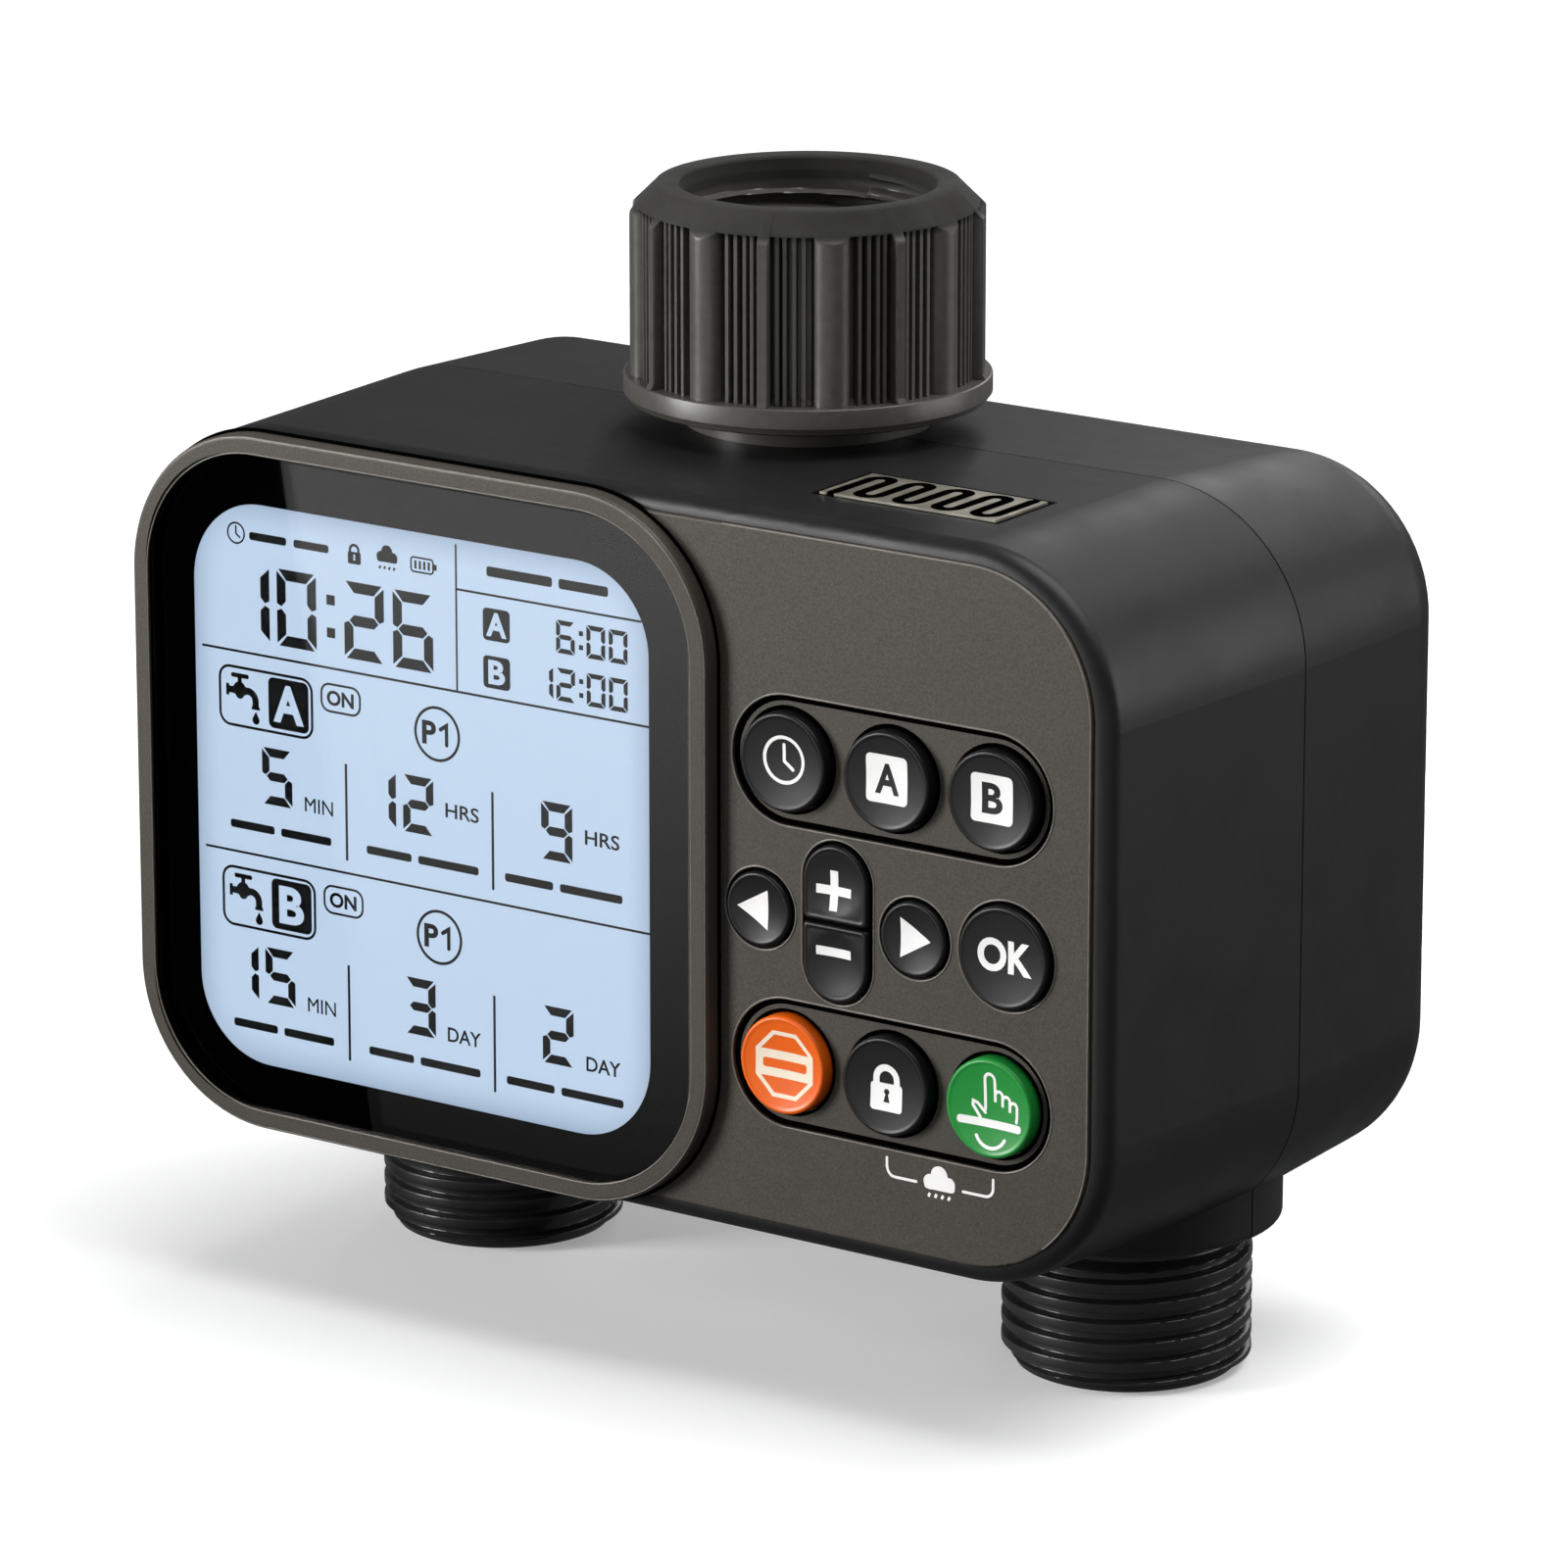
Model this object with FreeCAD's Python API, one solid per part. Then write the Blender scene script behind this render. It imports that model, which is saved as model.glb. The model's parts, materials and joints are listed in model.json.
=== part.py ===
import FreeCAD, Part
import math
import os
from FreeCAD import Vector

# A two-outlet watering timer that hangs from a tap by its swivel nut.
# It is drawn in a body frame, in millimetres: X to the right, Y from the face panel towards the
# back, Z up, with the origin in the face panel's plane at the middle of the case's height.
# save() then moves every piece to the stored frame, whose origin is the middle of the inlet's thread.

os.makedirs("parts", exist_ok=True)

# ---- case ----
WALL = 2.2
# half width, half height, corner radius, depth, height of the middle
FRONT_SECTION = (61.9, 39.1, 17.3, 0.3, 0.0)
PARTING_SECTION = (63.4, 40.1, 17.8, 34.6, -0.8)
REAR_SECTION = (63.4, 38.35, 16.3, 64.0, -0.65)
FRONT_ROUNDING = 1.9
REAR_ROUNDING = 6.5
FRONT_Y = FRONT_SECTION[3]
FRONT_WALL_BACK = FRONT_Y + 2.3
PARTING_Y = PARTING_SECTION[3]
REAR_Y = REAR_SECTION[3]
REAR_WALL_FRONT = REAR_Y - WALL
PARTING_GAP = 0.1
SEAL_INSET = 0.7
SEAL_WIDTH = 0.8
SEAL_DEPTH = 1.6
GAP = 0.1

# ---- water path ----
PIPE_Y = 36.0
OUTLET_X = 41.5
OUTLETS = {"a": -OUTLET_X, "b": OUTLET_X}
THREAD_PITCH = 25.4 / 11.5
THREAD_CREST = 0.8
THREAD_FLANK = 0.5
MALE_MAJOR_R = 13.4
MALE_MINOR_R = 12.2
FEMALE_MINOR_R = 12.35
FEMALE_MAJOR_R = 13.6
OUTLET_END_Z = -58.1
OUTLET_LEAD_Z = -56.6
OUTLET_LEAD_R = 11.95
OUTLET_BORE_R = 9.2
OUTLET_CRESTS = 6
COLLAR_R = 16.5
COLLAR_END_Z = -41.55
COLLAR_ROUNDING = 0.8

# ---- swivel nut and inlet ----
NUT_TOP_Z = 65.1
NUT_FLANGE_Z = (41.7, 44.7)
NUT_FLANGE_R = 19.7
NUT_BODY_R = 17.5
NUT_RIB_R = 19.1
NUT_LOBE_R = 2.6
NUT_RIBS = 8
NUT_RIB_WIDTH = 1.5
NUT_RIB_ANGLE = 20.2
NUT_RIM_R = 16.2
NUT_CHAMFER_Z = 61.0
NUT_MOUTH_R = 13.2
NUT_THREAD_Z = 53.6
NUT_CRESTS = 4
NUT_THREAD_LENGTH = (NUT_CRESTS - 1) * THREAD_PITCH + THREAD_CREST
ORIGIN_Z = NUT_THREAD_Z + THREAD_FLANK + NUT_THREAD_LENGTH / 2
LIP_R = 11.95
LIP_TOP_Z = 44.4
SPIGOT_R = 11.6
SPIGOT_FLANGE_R = 13.2
SPIGOT_FLANGE_Z = (44.7, 49.4)
SPIGOT_FOOT_Z = 29.0
SPIGOT_BORE_R = 9.0
INLET_COLLAR_R = 13.15
INLET_COLLAR_Z = (35.7, 41.4)
SOCKET_R = 13.8
SOCKET_Z = (26.0, 35.6)
INLET_PIPE_R = 10.0
INLET_PIPE_BORE_R = 7.8

# ---- valves ----
GALLERY_Z = -19.0
GALLERY_R = 6.2
GALLERY_BORE_R = 4.6
CHAMBER_R = 14.2
CHAMBER_BORE_R = 10.8
CHAMBER_Z = (-31.0, -12.0)
CHAMBER_FLOOR_Z = -24.5
OUTLET_SOCKET_R = 10.6
OUTLET_SOCKET_TOP_Z = -26.0
SEAT_R = 7.2
SEAT_BORE_R = 6.0
SEAT_TOP_Z = -13.4
LUG_R = 3.0
LUG_CIRCLE_R = 14.6
DIAPHRAGM_R = 12.6
DIAPHRAGM_Z = (-12.0, -10.6)
BONNET_Z = (-10.55, -6.0)
BONNET_HUB_TOP_Z = -2.9
CORE_TUBE_R = 5.4
CORE_BORE_R = 4.0
CORE_TOP_Z = 23.0
COIL_R = 11.0
COIL_Z = (-2.7, 22.0)
PLUNGER_R = 3.92
PLUNGER_Z = (-8.0, 10.0)
PLUNGER_TRAVEL = 2.0
SPRING_TOP_Z = 18.0
SPRING_MEAN_R = 3.0
SPRING_WIRE_R = 0.3
SPRING_TURNS = 7

# ---- display, middle (x, z), half width, half height, corner radius ----
BEZEL_OUTER = (-24.2, 0.0, 37.9, 38.6, 16.7)
BEZEL_INNER = (-24.4, 0.0, 35.8, 36.5, 13.8)
LCD_WINDOW = (-24.8, -0.5, 30.9, 32.0, 9.8)
BEZEL_FRONT_Y = -2.1
BEZEL_ROUNDING = 0.5
GLASS_Y = (-1.6, 0.15)
LCD_Y = (0.3, 2.4)
BACKLIGHT_Y = (2.75, 6.0)

# ---- face plate and keys ----
FACE_PLATE = (19.0, 0.0, 40.6, 37.2, 14.8)
FACE_PLATE_T = 1.2
FACE_PLATE_ROUNDING = 0.3
TRAY_R = 6.9
TRAY_DEPTH = 0.4
TRAY_GROOVE_W = 0.6
TRAY_GROOVE_DEPTH = 0.9
KEY_COLUMNS = (22.5, 35.35, 48.2)
KEY_ROWS = (13.15, -3.2, -19.4)
BIG_KEY_R = 5.3
BIG_KEY_PROUD = 1.1
SMALL_KEY_R = 4.0
SMALL_KEY_PROUD = 0.6
ROCKER_HALF = 8.4
ROCKER_R = 4.0
ROCKER_PROUD = 0.7
ROCKER_SPLIT = 0.3
KEY_HOLE_GAP = 0.35
KEY_FLANGE_Y = (2.7, 3.5)
KEY_STEM_R = 2.0
KEY_STEM_END_Y = 4.4
KEY_TRAVEL = 0.8
KEY_EDGE = 0.5
# name, shape, x, z, size, how far the top stands out of the face panel
KEYS = [
    ("key_clock", "round", KEY_COLUMNS[0], KEY_ROWS[0], BIG_KEY_R, BIG_KEY_PROUD),
    ("key_program_a", "round", KEY_COLUMNS[1], KEY_ROWS[0], BIG_KEY_R, BIG_KEY_PROUD),
    ("key_program_b", "round", KEY_COLUMNS[2], KEY_ROWS[0], BIG_KEY_R, BIG_KEY_PROUD),
    ("key_left", "round", 19.1, KEY_ROWS[1], SMALL_KEY_R, SMALL_KEY_PROUD),
    ("key_plus", "upper", 28.8, KEY_ROWS[1], ROCKER_R, ROCKER_PROUD),
    ("key_minus", "lower", 28.8, KEY_ROWS[1], ROCKER_R, ROCKER_PROUD),
    ("key_right", "round", 38.4, KEY_ROWS[1], SMALL_KEY_R, SMALL_KEY_PROUD),
    ("key_ok", "round", 49.6, KEY_ROWS[1], BIG_KEY_R + 0.15, BIG_KEY_PROUD - 0.2),
    ("key_stop", "round", KEY_COLUMNS[0], KEY_ROWS[2], BIG_KEY_R, BIG_KEY_PROUD),
    ("key_lock", "round", KEY_COLUMNS[1], KEY_ROWS[2], BIG_KEY_R, BIG_KEY_PROUD),
    ("key_manual", "round", KEY_COLUMNS[2], KEY_ROWS[2], BIG_KEY_R, BIG_KEY_PROUD),
]

# ---- electronics ----
MAT_Y = (5.5, 6.3)
KEYPAD_MAT = (34.4, -2.5, 20.2, 25.5, 4.0)
BOARD_Y = (8.6, 10.2)
BOARD = (0.0, -0.2, 59.0, 35.5, 14.5)
SWITCH_Y = (6.6, 8.55)
SWITCH_SIDE = 4.6
BOARD_POSTS = [(-57.4, 12.0), (-57.4, -12.0), (57.0, 5.2), (57.0, -11.4)]
BOARD_POST_R = 1.3

# ---- rain sensor: middle (x, y), length along X, width along Y ----
SENSOR = (30.7, 14.4, 23.2, 11.0)
SENSOR_TOP_Z = 39.3
SENSOR_BASE_T = 1.0
SENSOR_POCKET_FLOOR_Z = 38.0
SENSOR_BORDER = 0.7
ELECTRODE_T = 0.25
SERPENTINE_GAP = 1.0
SERPENTINE_RUNS = 9
SERPENTINE_MARGIN = 2.0

# ---- batteries and their door ----
BATTERY_R = 5.25
BATTERY_Z = (-24.5, 18.9)
BATTERY_NUB_R = 1.9
BATTERY_NUB_T = 1.0
BATTERY_PITCH = 11.2
BATTERY_COUNT = 4
BOX_OUTER = (-24.4, 24.4, -28.3, 23.3)
BOX_Y = (47.2, 61.6)
BOX_WALL = 1.4
DOOR_OPENING = (-22.6, 22.6, -26.5, 21.5)
DOOR = (0.0, -2.7, 26.5, 28.2, 4.0)
DOOR_Y = (64.25, 66.6)
DOOR_SEAL_W = 1.6
HINGE_Y = 66.3
HINGE_Z = 28.2
HINGE_R = 2.05
HINGE_PIN_R = 0.9
DOOR_KNUCKLES = [(-21.9, -14.1), (14.1, 21.9)]
CASE_KNUCKLES = [(-26.0, -22.2), (-13.8, -9.0), (9.0, 13.8), (22.2, 26.0)]

# ---- case screws (x, z) ----
UPPER_SCREWS = [(51.8, 28.2), (-51.8, 28.2)]
LOWER_SCREWS = [(20.0, -33.4), (-20.0, -33.4)]
SCREW_POSITIONS = UPPER_SCREWS + LOWER_SCREWS
BOSS_WEB = 2.0
BOSS_R = 3.6
SCREW_R = 1.5
SCREW_HEAD_R = 2.8
SCREW_HEAD_Y = 57.0
SCREW_TIP_Y = 16.0
FRONT_BOSS_Y = 12.0


# ---- drawing helpers ----
def outline(half_w, half_h, radius, y, cx=0.0, cz=0.0):
    """A rounded rectangle at depth y, as a closed wire."""
    def at(x, z):
        return Vector(cx + x, y, cz + z)
    a, b, r = half_w, half_h, radius
    k = r * (1 - math.sqrt(0.5))
    corners = [(1, 1), (-1, 1), (-1, -1), (1, -1)]
    edges = []
    for i, (sx, sz) in enumerate(corners):
        on_side = at(sx * a, sz * (b - r))
        on_end = at(sx * (a - r), sz * b)
        middle = at(sx * (a - k), sz * (b - k))
        first, last = (on_side, on_end) if sx == sz else (on_end, on_side)
        nx, nz = corners[(i + 1) % 4]
        if sx == sz:
            target = at(nx * (a - r), nz * b)
        else:
            target = at(nx * a, nz * (b - r))
        edges.append(Part.Arc(first, middle, last).toShape())
        edges.append(Part.LineSegment(last, target).toShape())
    return Part.Wire(edges)


def section_wire(section, inset=0.0, y=None):
    half_w, half_h, radius, depth, cz = section
    return outline(half_w - inset, half_h - inset, radius - inset, depth if y is None else y, 0.0, cz)


def sheet(form, y0, y1, grow=0.0):
    """A rounded plate from depth y0 to y1, its outline widened by grow."""
    cx, cz, half_w, half_h, radius = form
    wire = outline(half_w + grow, half_h + grow, radius + grow, y0, cx, cz)
    return Part.Face(wire).extrude(Vector(0, y1 - y0, 0))


def block(x0, x1, y0, y1, z0, z1):
    return Part.makeBox(x1 - x0, y1 - y0, z1 - z0, Vector(x0, y0, z0))


def rod_z(x, y, z0, z1, r):
    return Part.makeCylinder(r, z1 - z0, Vector(x, y, z0))


def rod_y(x, z, y0, y1, r):
    return Part.makeCylinder(r, y1 - y0, Vector(x, y0, z), Vector(0, 1, 0))


def rod_x(x0, x1, y, z, r):
    return Part.makeCylinder(r, x1 - x0, Vector(x0, y, z), Vector(1, 0, 0))


def tube_z(x, y, z0, z1, r_out, r_in):
    return rod_z(x, y, z0, z1, r_out).cut(rod_z(x, y, z0 - 1, z1 + 1, r_in))


def turned(points, x, y):
    """A closed profile of (radius, height) points, turned about the vertical line at x, y."""
    corners = [Vector(r, 0, z) for r, z in points]
    face = Part.Face(Part.makePolygon(corners + corners[:1]))
    solid = face.revolve(Vector(0, 0, 0), Vector(0, 0, 1), 360)
    solid.translate(Vector(x, y, 0))
    return solid


def joined(shapes):
    first = shapes[0]
    return first.multiFuse(shapes[1:]).removeSplitter() if len(shapes) > 1 else first


def group(shapes):
    return Part.makeCompound(shapes)


def edges_at_y(shape, y):
    flat = []
    for edge in shape.Edges:
        box = edge.BoundBox
        if abs(box.YMin - y) < 1e-4 and abs(box.YMax - y) < 1e-4:
            flat.append(edge)
    return flat


def edges_at_z(shape, z):
    flat = []
    for edge in shape.Edges:
        box = edge.BoundBox
        if abs(box.ZMin - z) < 1e-4 and abs(box.ZMax - z) < 1e-4:
            flat.append(edge)
    return flat


def thread_points(z_start, crests, r_root, r_crest):
    """Profile points of a run of ridges, upwards, one pitch apart."""
    points = []
    for i in range(crests):
        z = z_start + i * THREAD_PITCH
        points.append((r_root, z))
        points.append((r_crest, z + THREAD_FLANK))
        points.append((r_crest, z + THREAD_FLANK + THREAD_CREST))
        points.append((r_root, z + 2 * THREAD_FLANK + THREAD_CREST))
    return points


def save(node, shape):
    placed = shape.copy()
    placed.translate(Vector(0, -PIPE_Y, -ORIGIN_Z))
    placed.exportStep("parts/" + node + ".step")
    print(node, "solids", len(placed.Solids), "valid", placed.isValid(), "volume", round(placed.Volume, 1))


# ---- case ----
def front_form():
    solid = Part.makeLoft([section_wire(FRONT_SECTION), section_wire(PARTING_SECTION)], True, True)
    return solid.makeFillet(FRONT_ROUNDING, edges_at_y(solid, FRONT_Y))


def rear_form(inset):
    """The rear half of the case as one block, its rounded skin moved inwards by inset."""
    back = REAR_Y - inset
    solid = Part.makeLoft([section_wire(PARTING_SECTION, inset, PARTING_Y - 0.01),
                           section_wire(REAR_SECTION, inset, back)], True, True)
    return solid.makeFillet(REAR_ROUNDING - inset, edges_at_y(solid, back))


def collar(x):
    """The round boss under the case that an outlet comes out of."""
    boss = rod_z(x, PIPE_Y, COLLAR_END_Z, SEAT_TOP_Z - 10, COLLAR_R)
    return boss.makeFillet(COLLAR_ROUNDING, edges_at_z(boss, COLLAR_END_Z))


def pipe_holes():
    holes = [rod_z(0, PIPE_Y, 30, 45, INLET_COLLAR_R + GAP)]
    holes += [rod_z(x, PIPE_Y, COLLAR_END_Z - 1, -20, MALE_MINOR_R - GAP) for x in OUTLETS.values()]
    return holes


def seal_ring(clearance):
    inset = SEAL_INSET - clearance
    y0 = PARTING_Y - SEAL_DEPTH / 2 - clearance
    length = Vector(0, SEAL_DEPTH + 2 * clearance, 0)
    outer = Part.Face(section_wire(PARTING_SECTION, inset, y0)).extrude(length)
    inner = Part.Face(section_wire(PARTING_SECTION, inset + SEAL_WIDTH + 2 * clearance, y0)).extrude(length)
    return outer.cut(inner)


def half_space(y0, y1):
    return block(-90, 90, y0, y1, -90, 90)


def key_profile(key, y0, y1, grow):
    """One key's outline, widened by grow, from depth y0 to y1."""
    name, form, x, z, r, proud = key
    if form == "round":
        return rod_y(x, z, y0, y1, r + grow)
    pill = sheet((x, z, r, ROCKER_HALF, r - 0.01), y0, y1, grow)
    split = ROCKER_SPLIT / 2
    if form == "upper":
        return pill.common(block(x - 20, x + 20, y0, y1, z + split, z + 30))
    return pill.common(block(x - 20, x + 20, y0, y1, z - 30, z - split))


def key_hole(key, y0, y1):
    """The hole a key moves in; the two halves of the rocker share one hole."""
    name, form, x, z, r, proud = key
    if form == "round":
        return rod_y(x, z, y0, y1, r + KEY_HOLE_GAP)
    return sheet((x, z, r, ROCKER_HALF, r - 0.01), y0, y1, KEY_HOLE_GAP)


def screw_bosses(y0, y1):
    """Posts for the case screws, each with a web that reaches through to the nearest wall."""
    posts = []
    for x, z in SCREW_POSITIONS:
        post = rod_y(x, z, y0, y1, BOSS_R)
        if z > 0:
            side = math.copysign(70.0, x)
            web = block(min(x, side), max(x, side), y0, y1, z - BOSS_WEB / 2, z + BOSS_WEB / 2)
        else:
            web = block(x - BOSS_WEB / 2, x + BOSS_WEB / 2, y0, y1, -60.0, z)
        posts.append(post.fuse(web))
    return posts


def front_housing():
    outer = front_form()
    keep = half_space(-5, PARTING_Y - PARTING_GAP)
    outer = joined([outer] + [collar(x).common(half_space(0, PARTING_Y)) for x in OUTLETS.values()])
    cavity = Part.makeLoft([section_wire(FRONT_SECTION, WALL, FRONT_WALL_BACK),
                            section_wire(PARTING_SECTION, WALL, PARTING_Y + 0.01)], True, True)
    shell = outer.cut(cavity)
    inner = Part.makeLoft([section_wire(FRONT_SECTION, 1.0), section_wire(PARTING_SECTION, 1.0)], True, True)
    bosses = [boss.common(inner) for boss in screw_bosses(FRONT_BOSS_Y, PARTING_Y)]
    posts = [rod_y(x, z, FRONT_WALL_BACK - 0.5, BOARD_Y[0] - 0.05, BOARD_POST_R) for x, z in BOARD_POSTS]
    shell = joined([shell] + bosses + posts).common(keep)
    cuts = [sheet(LCD_WINDOW, -1, FRONT_WALL_BACK + 1)]
    cuts.append(sheet(FACE_PLATE, -1, FACE_PLATE_T + 0.02, 0.05).cut(sheet(BEZEL_OUTER, -2, 2, -1.0)))
    cuts += [key_hole(key, 0, FRONT_WALL_BACK + 1) for key in KEYS]
    cuts += pipe_holes()
    cuts += [rod_y(x, z, SCREW_TIP_Y - 1, PARTING_Y, SCREW_R + 0.03) for x, z in SCREW_POSITIONS]
    cuts += [rod_y(x, z, BOARD_Y[0] - 4, BOARD_Y[0], 0.83) for x, z in BOARD_POSTS]
    cuts.append(seal_ring(0.05))
    cuts.append(sensor_block(SENSOR_POCKET_FLOOR_Z, SENSOR_TOP_Z + 2, GAP / 2))
    for cut in cuts:
        shell = shell.cut(cut)
    return shell


def rear_housing():
    outer = rear_form(0.0)
    keep = half_space(PARTING_Y + PARTING_GAP, REAR_Y + 5)
    outer = joined([outer] + [collar(x).common(half_space(PARTING_Y, 60)) for x in OUTLETS.values()])
    shell = outer.cut(rear_form(WALL))
    inner = rear_form(1.0)
    bosses = screw_bosses(PARTING_Y, REAR_WALL_FRONT + 1)
    bosses += [rod_y(x, z, SCREW_HEAD_Y - 2, REAR_WALL_FRONT + 1, BOSS_R + 0.9) for x, z in SCREW_POSITIONS]
    shell = joined([shell] + [boss.common(inner) for boss in bosses] + case_knuckles()).common(keep)
    x0, x1, z0, z1 = DOOR_OPENING
    cuts = [block(x0, x1, REAR_WALL_FRONT - 3, REAR_Y + 0.2, z0, z1)]
    cuts += pipe_holes()
    cuts += [rod_y(x, z, PARTING_Y, SCREW_HEAD_Y + 1, SCREW_R + 0.2) for x, z in SCREW_POSITIONS]
    cuts += [rod_y(x, z, SCREW_HEAD_Y, REAR_Y + 3, SCREW_HEAD_R + 0.2) for x, z in SCREW_POSITIONS]
    cuts.append(rod_x(-30, 30, HINGE_Y, HINGE_Z, HINGE_PIN_R + 0.03))
    cuts.append(seal_ring(0.05))
    for cut in cuts:
        shell = shell.cut(cut)
    return shell


def case_knuckles():
    knuckles = []
    for x0, x1 in CASE_KNUCKLES:
        foot = block(x0, x1, REAR_Y - 1, HINGE_Y, HINGE_Z - 1.2, HINGE_Z + HINGE_R)
        knuckles.append(rod_x(x0, x1, HINGE_Y, HINGE_Z, HINGE_R).fuse(foot))
    return knuckles


def housing_seal():
    ring = seal_ring(0.0)
    for hole in pipe_holes():
        ring = ring.cut(hole)
    return ring


def housing_screws():
    screws = []
    for x, z in SCREW_POSITIONS:
        shank = rod_y(x, z, SCREW_TIP_Y, SCREW_HEAD_Y + 0.05, SCREW_R)
        head = rod_y(x, z, SCREW_HEAD_Y + 0.05, SCREW_HEAD_Y + 2.05, SCREW_HEAD_R)
        head = head.makeFillet(0.8, edges_at_y(head, SCREW_HEAD_Y + 2.05))
        cross = joined([block(x - 1.6, x + 1.6, SCREW_HEAD_Y + 1, SCREW_HEAD_Y + 3, z - 0.3, z + 0.3),
                        block(x - 0.3, x + 0.3, SCREW_HEAD_Y + 1, SCREW_HEAD_Y + 3, z - 1.6, z + 1.6)])
        screws.append(shank.fuse(head).cut(cross))
    return group(screws)


# ---- display ----
def screen_bezel():
    ring = sheet(BEZEL_OUTER, BEZEL_FRONT_Y, FRONT_Y - 0.02)
    ring = ring.makeFillet(BEZEL_ROUNDING, edges_at_y(ring, BEZEL_FRONT_Y))
    return ring.cut(sheet(BEZEL_INNER, BEZEL_FRONT_Y - 1, FRONT_Y + 1))


def display_lens():
    return sheet(BEZEL_INNER, GLASS_Y[0], GLASS_Y[1], -0.1)


def lcd_panel():
    return sheet(LCD_WINDOW, LCD_Y[0], LCD_Y[1], -0.2)


def lcd_backlight():
    return sheet(LCD_WINDOW, BACKLIGHT_Y[0], BACKLIGHT_Y[1], 0.2)


# ---- face plate and keys ----
def tray(z):
    x0, x1 = KEY_COLUMNS[0], KEY_COLUMNS[-1]
    form = ((x0 + x1) / 2, z, (x1 - x0) / 2 + TRAY_R, TRAY_R, TRAY_R - 0.01)
    floor = sheet(form, -1, TRAY_DEPTH)
    groove = sheet(form, -1, TRAY_GROOVE_DEPTH).cut(sheet(form, -2, TRAY_GROOVE_DEPTH + 1, -TRAY_GROOVE_W))
    return floor.fuse(groove)


def face_plate():
    plate = sheet(FACE_PLATE, 0.0, FACE_PLATE_T)
    plate = plate.makeFillet(FACE_PLATE_ROUNDING, edges_at_y(plate, 0.0))
    plate = plate.cut(sheet(BEZEL_OUTER, -1, FACE_PLATE_T + 1, 0.05))
    cuts = [tray(KEY_ROWS[0]), tray(KEY_ROWS[2])] + [key_hole(key, -1, FACE_PLATE_T + 1) for key in KEYS]
    for cut in cuts:
        plate = plate.cut(cut)
    return plate


def key_cap(key):
    name, form, x, z, r, proud = key
    top = -proud
    cap = key_profile(key, top, KEY_FLANGE_Y[0] + 0.1, 0.0)
    cap = cap.makeFillet(KEY_EDGE, edges_at_y(cap, top))
    flange = key_profile(key, KEY_FLANGE_Y[0], KEY_FLANGE_Y[1], 0.7 if r > 5 else 0.45)
    stem_z = z
    if form != "round":
        stem_z = z + (4.4 if form == "upper" else -4.4)
    stem = rod_y(x, stem_z, KEY_FLANGE_Y[1] - 0.1, KEY_STEM_END_Y, KEY_STEM_R)
    return joined([cap, flange, stem])


def stem_positions():
    places = []
    for name, form, x, z, r, proud in KEYS:
        shift = {"round": 0.0, "upper": 4.4, "lower": -4.4}[form]
        places.append((x, z + shift))
    return places


def keypad_mat():
    mat = sheet(KEYPAD_MAT, MAT_Y[0], MAT_Y[1])
    collars = []
    for x, z in stem_positions():
        ring = rod_y(x, z, MAT_Y[0] - 0.8, MAT_Y[0] + 0.1, KEY_STEM_R + 1.3)
        collars.append(ring.cut(rod_y(x, z, MAT_Y[0] - 1, MAT_Y[0] + 1, KEY_STEM_R + 0.5)))
    return joined([mat] + collars)


# ---- electronics ----
def circuit_board():
    board = sheet(BOARD, BOARD_Y[0], BOARD_Y[1])
    for x, z in BOARD_POSTS:
        board = board.cut(rod_y(x, z, BOARD_Y[0] - 1, BOARD_Y[1] + 1, 1.0))
    return board


def tact_switches():
    switches = []
    half = SWITCH_SIDE / 2
    for x, z in stem_positions():
        body = block(x - half, x + half, SWITCH_Y[0] + 0.4, SWITCH_Y[1], z - half, z + half)
        switches.append(body.fuse(rod_y(x, z, SWITCH_Y[0], SWITCH_Y[0] + 0.5, 1.2)))
    return group(switches)


def board_screws():
    screws = []
    for x, z in BOARD_POSTS:
        head = rod_y(x, z, BOARD_Y[1] + 0.03, BOARD_Y[1] + 1.2, 1.6)
        screws.append(head.fuse(rod_y(x, z, BOARD_Y[0] - 3, BOARD_Y[1] + 0.1, 0.8)))
    return group(screws)


# ---- rain sensor ----
def sensor_block(z0, z1, grow=0.0):
    cx, cy, length, width = SENSOR
    return block(cx - length / 2 - grow, cx + length / 2 + grow, cy - width / 2 - grow, cy + width / 2 + grow, z0, z1)


def rain_sensor_plate():
    top = SENSOR_TOP_Z - ELECTRODE_T
    return sensor_block(top - SENSOR_BASE_T, top)


def serpentine():
    """The winding gap between the two electrodes: straight runs along Y joined by half rings."""
    cx, cy, length, width = SENSOR
    z0, z1 = SENSOR_TOP_Z - 1, SENSOR_TOP_Z + 1
    span = length - 2 * SERPENTINE_MARGIN
    step = span / (SERPENTINE_RUNS - 1)
    reach = width / 2 - SENSOR_BORDER - SERPENTINE_GAP - step / 2
    pieces = []
    for i in range(SERPENTINE_RUNS):
        x = cx - span / 2 + i * step
        low = cy - width if i == 0 else cy - reach
        high = cy + width if i == SERPENTINE_RUNS - 1 else cy + reach
        pieces.append(block(x - SERPENTINE_GAP / 2, x + SERPENTINE_GAP / 2, low, high, z0, z1))
    for i in range(SERPENTINE_RUNS - 1):
        side = 1 if i % 2 == 0 else -1
        x = cx - span / 2 + (i + 0.5) * step
        y = cy + side * reach
        ring = tube_z(x, y, z0, z1, step / 2 + SERPENTINE_GAP / 2, step / 2 - SERPENTINE_GAP / 2)
        y0, y1 = (y, y + step) if side == 1 else (y - step, y)
        pieces.append(ring.common(block(x - step, x + step, y0, y1, z0, z1)))
    return joined(pieces)


def rain_sensor_electrodes():
    metal = sensor_block(SENSOR_TOP_Z - ELECTRODE_T, SENSOR_TOP_Z, -SENSOR_BORDER)
    return metal.cut(serpentine())


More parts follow.
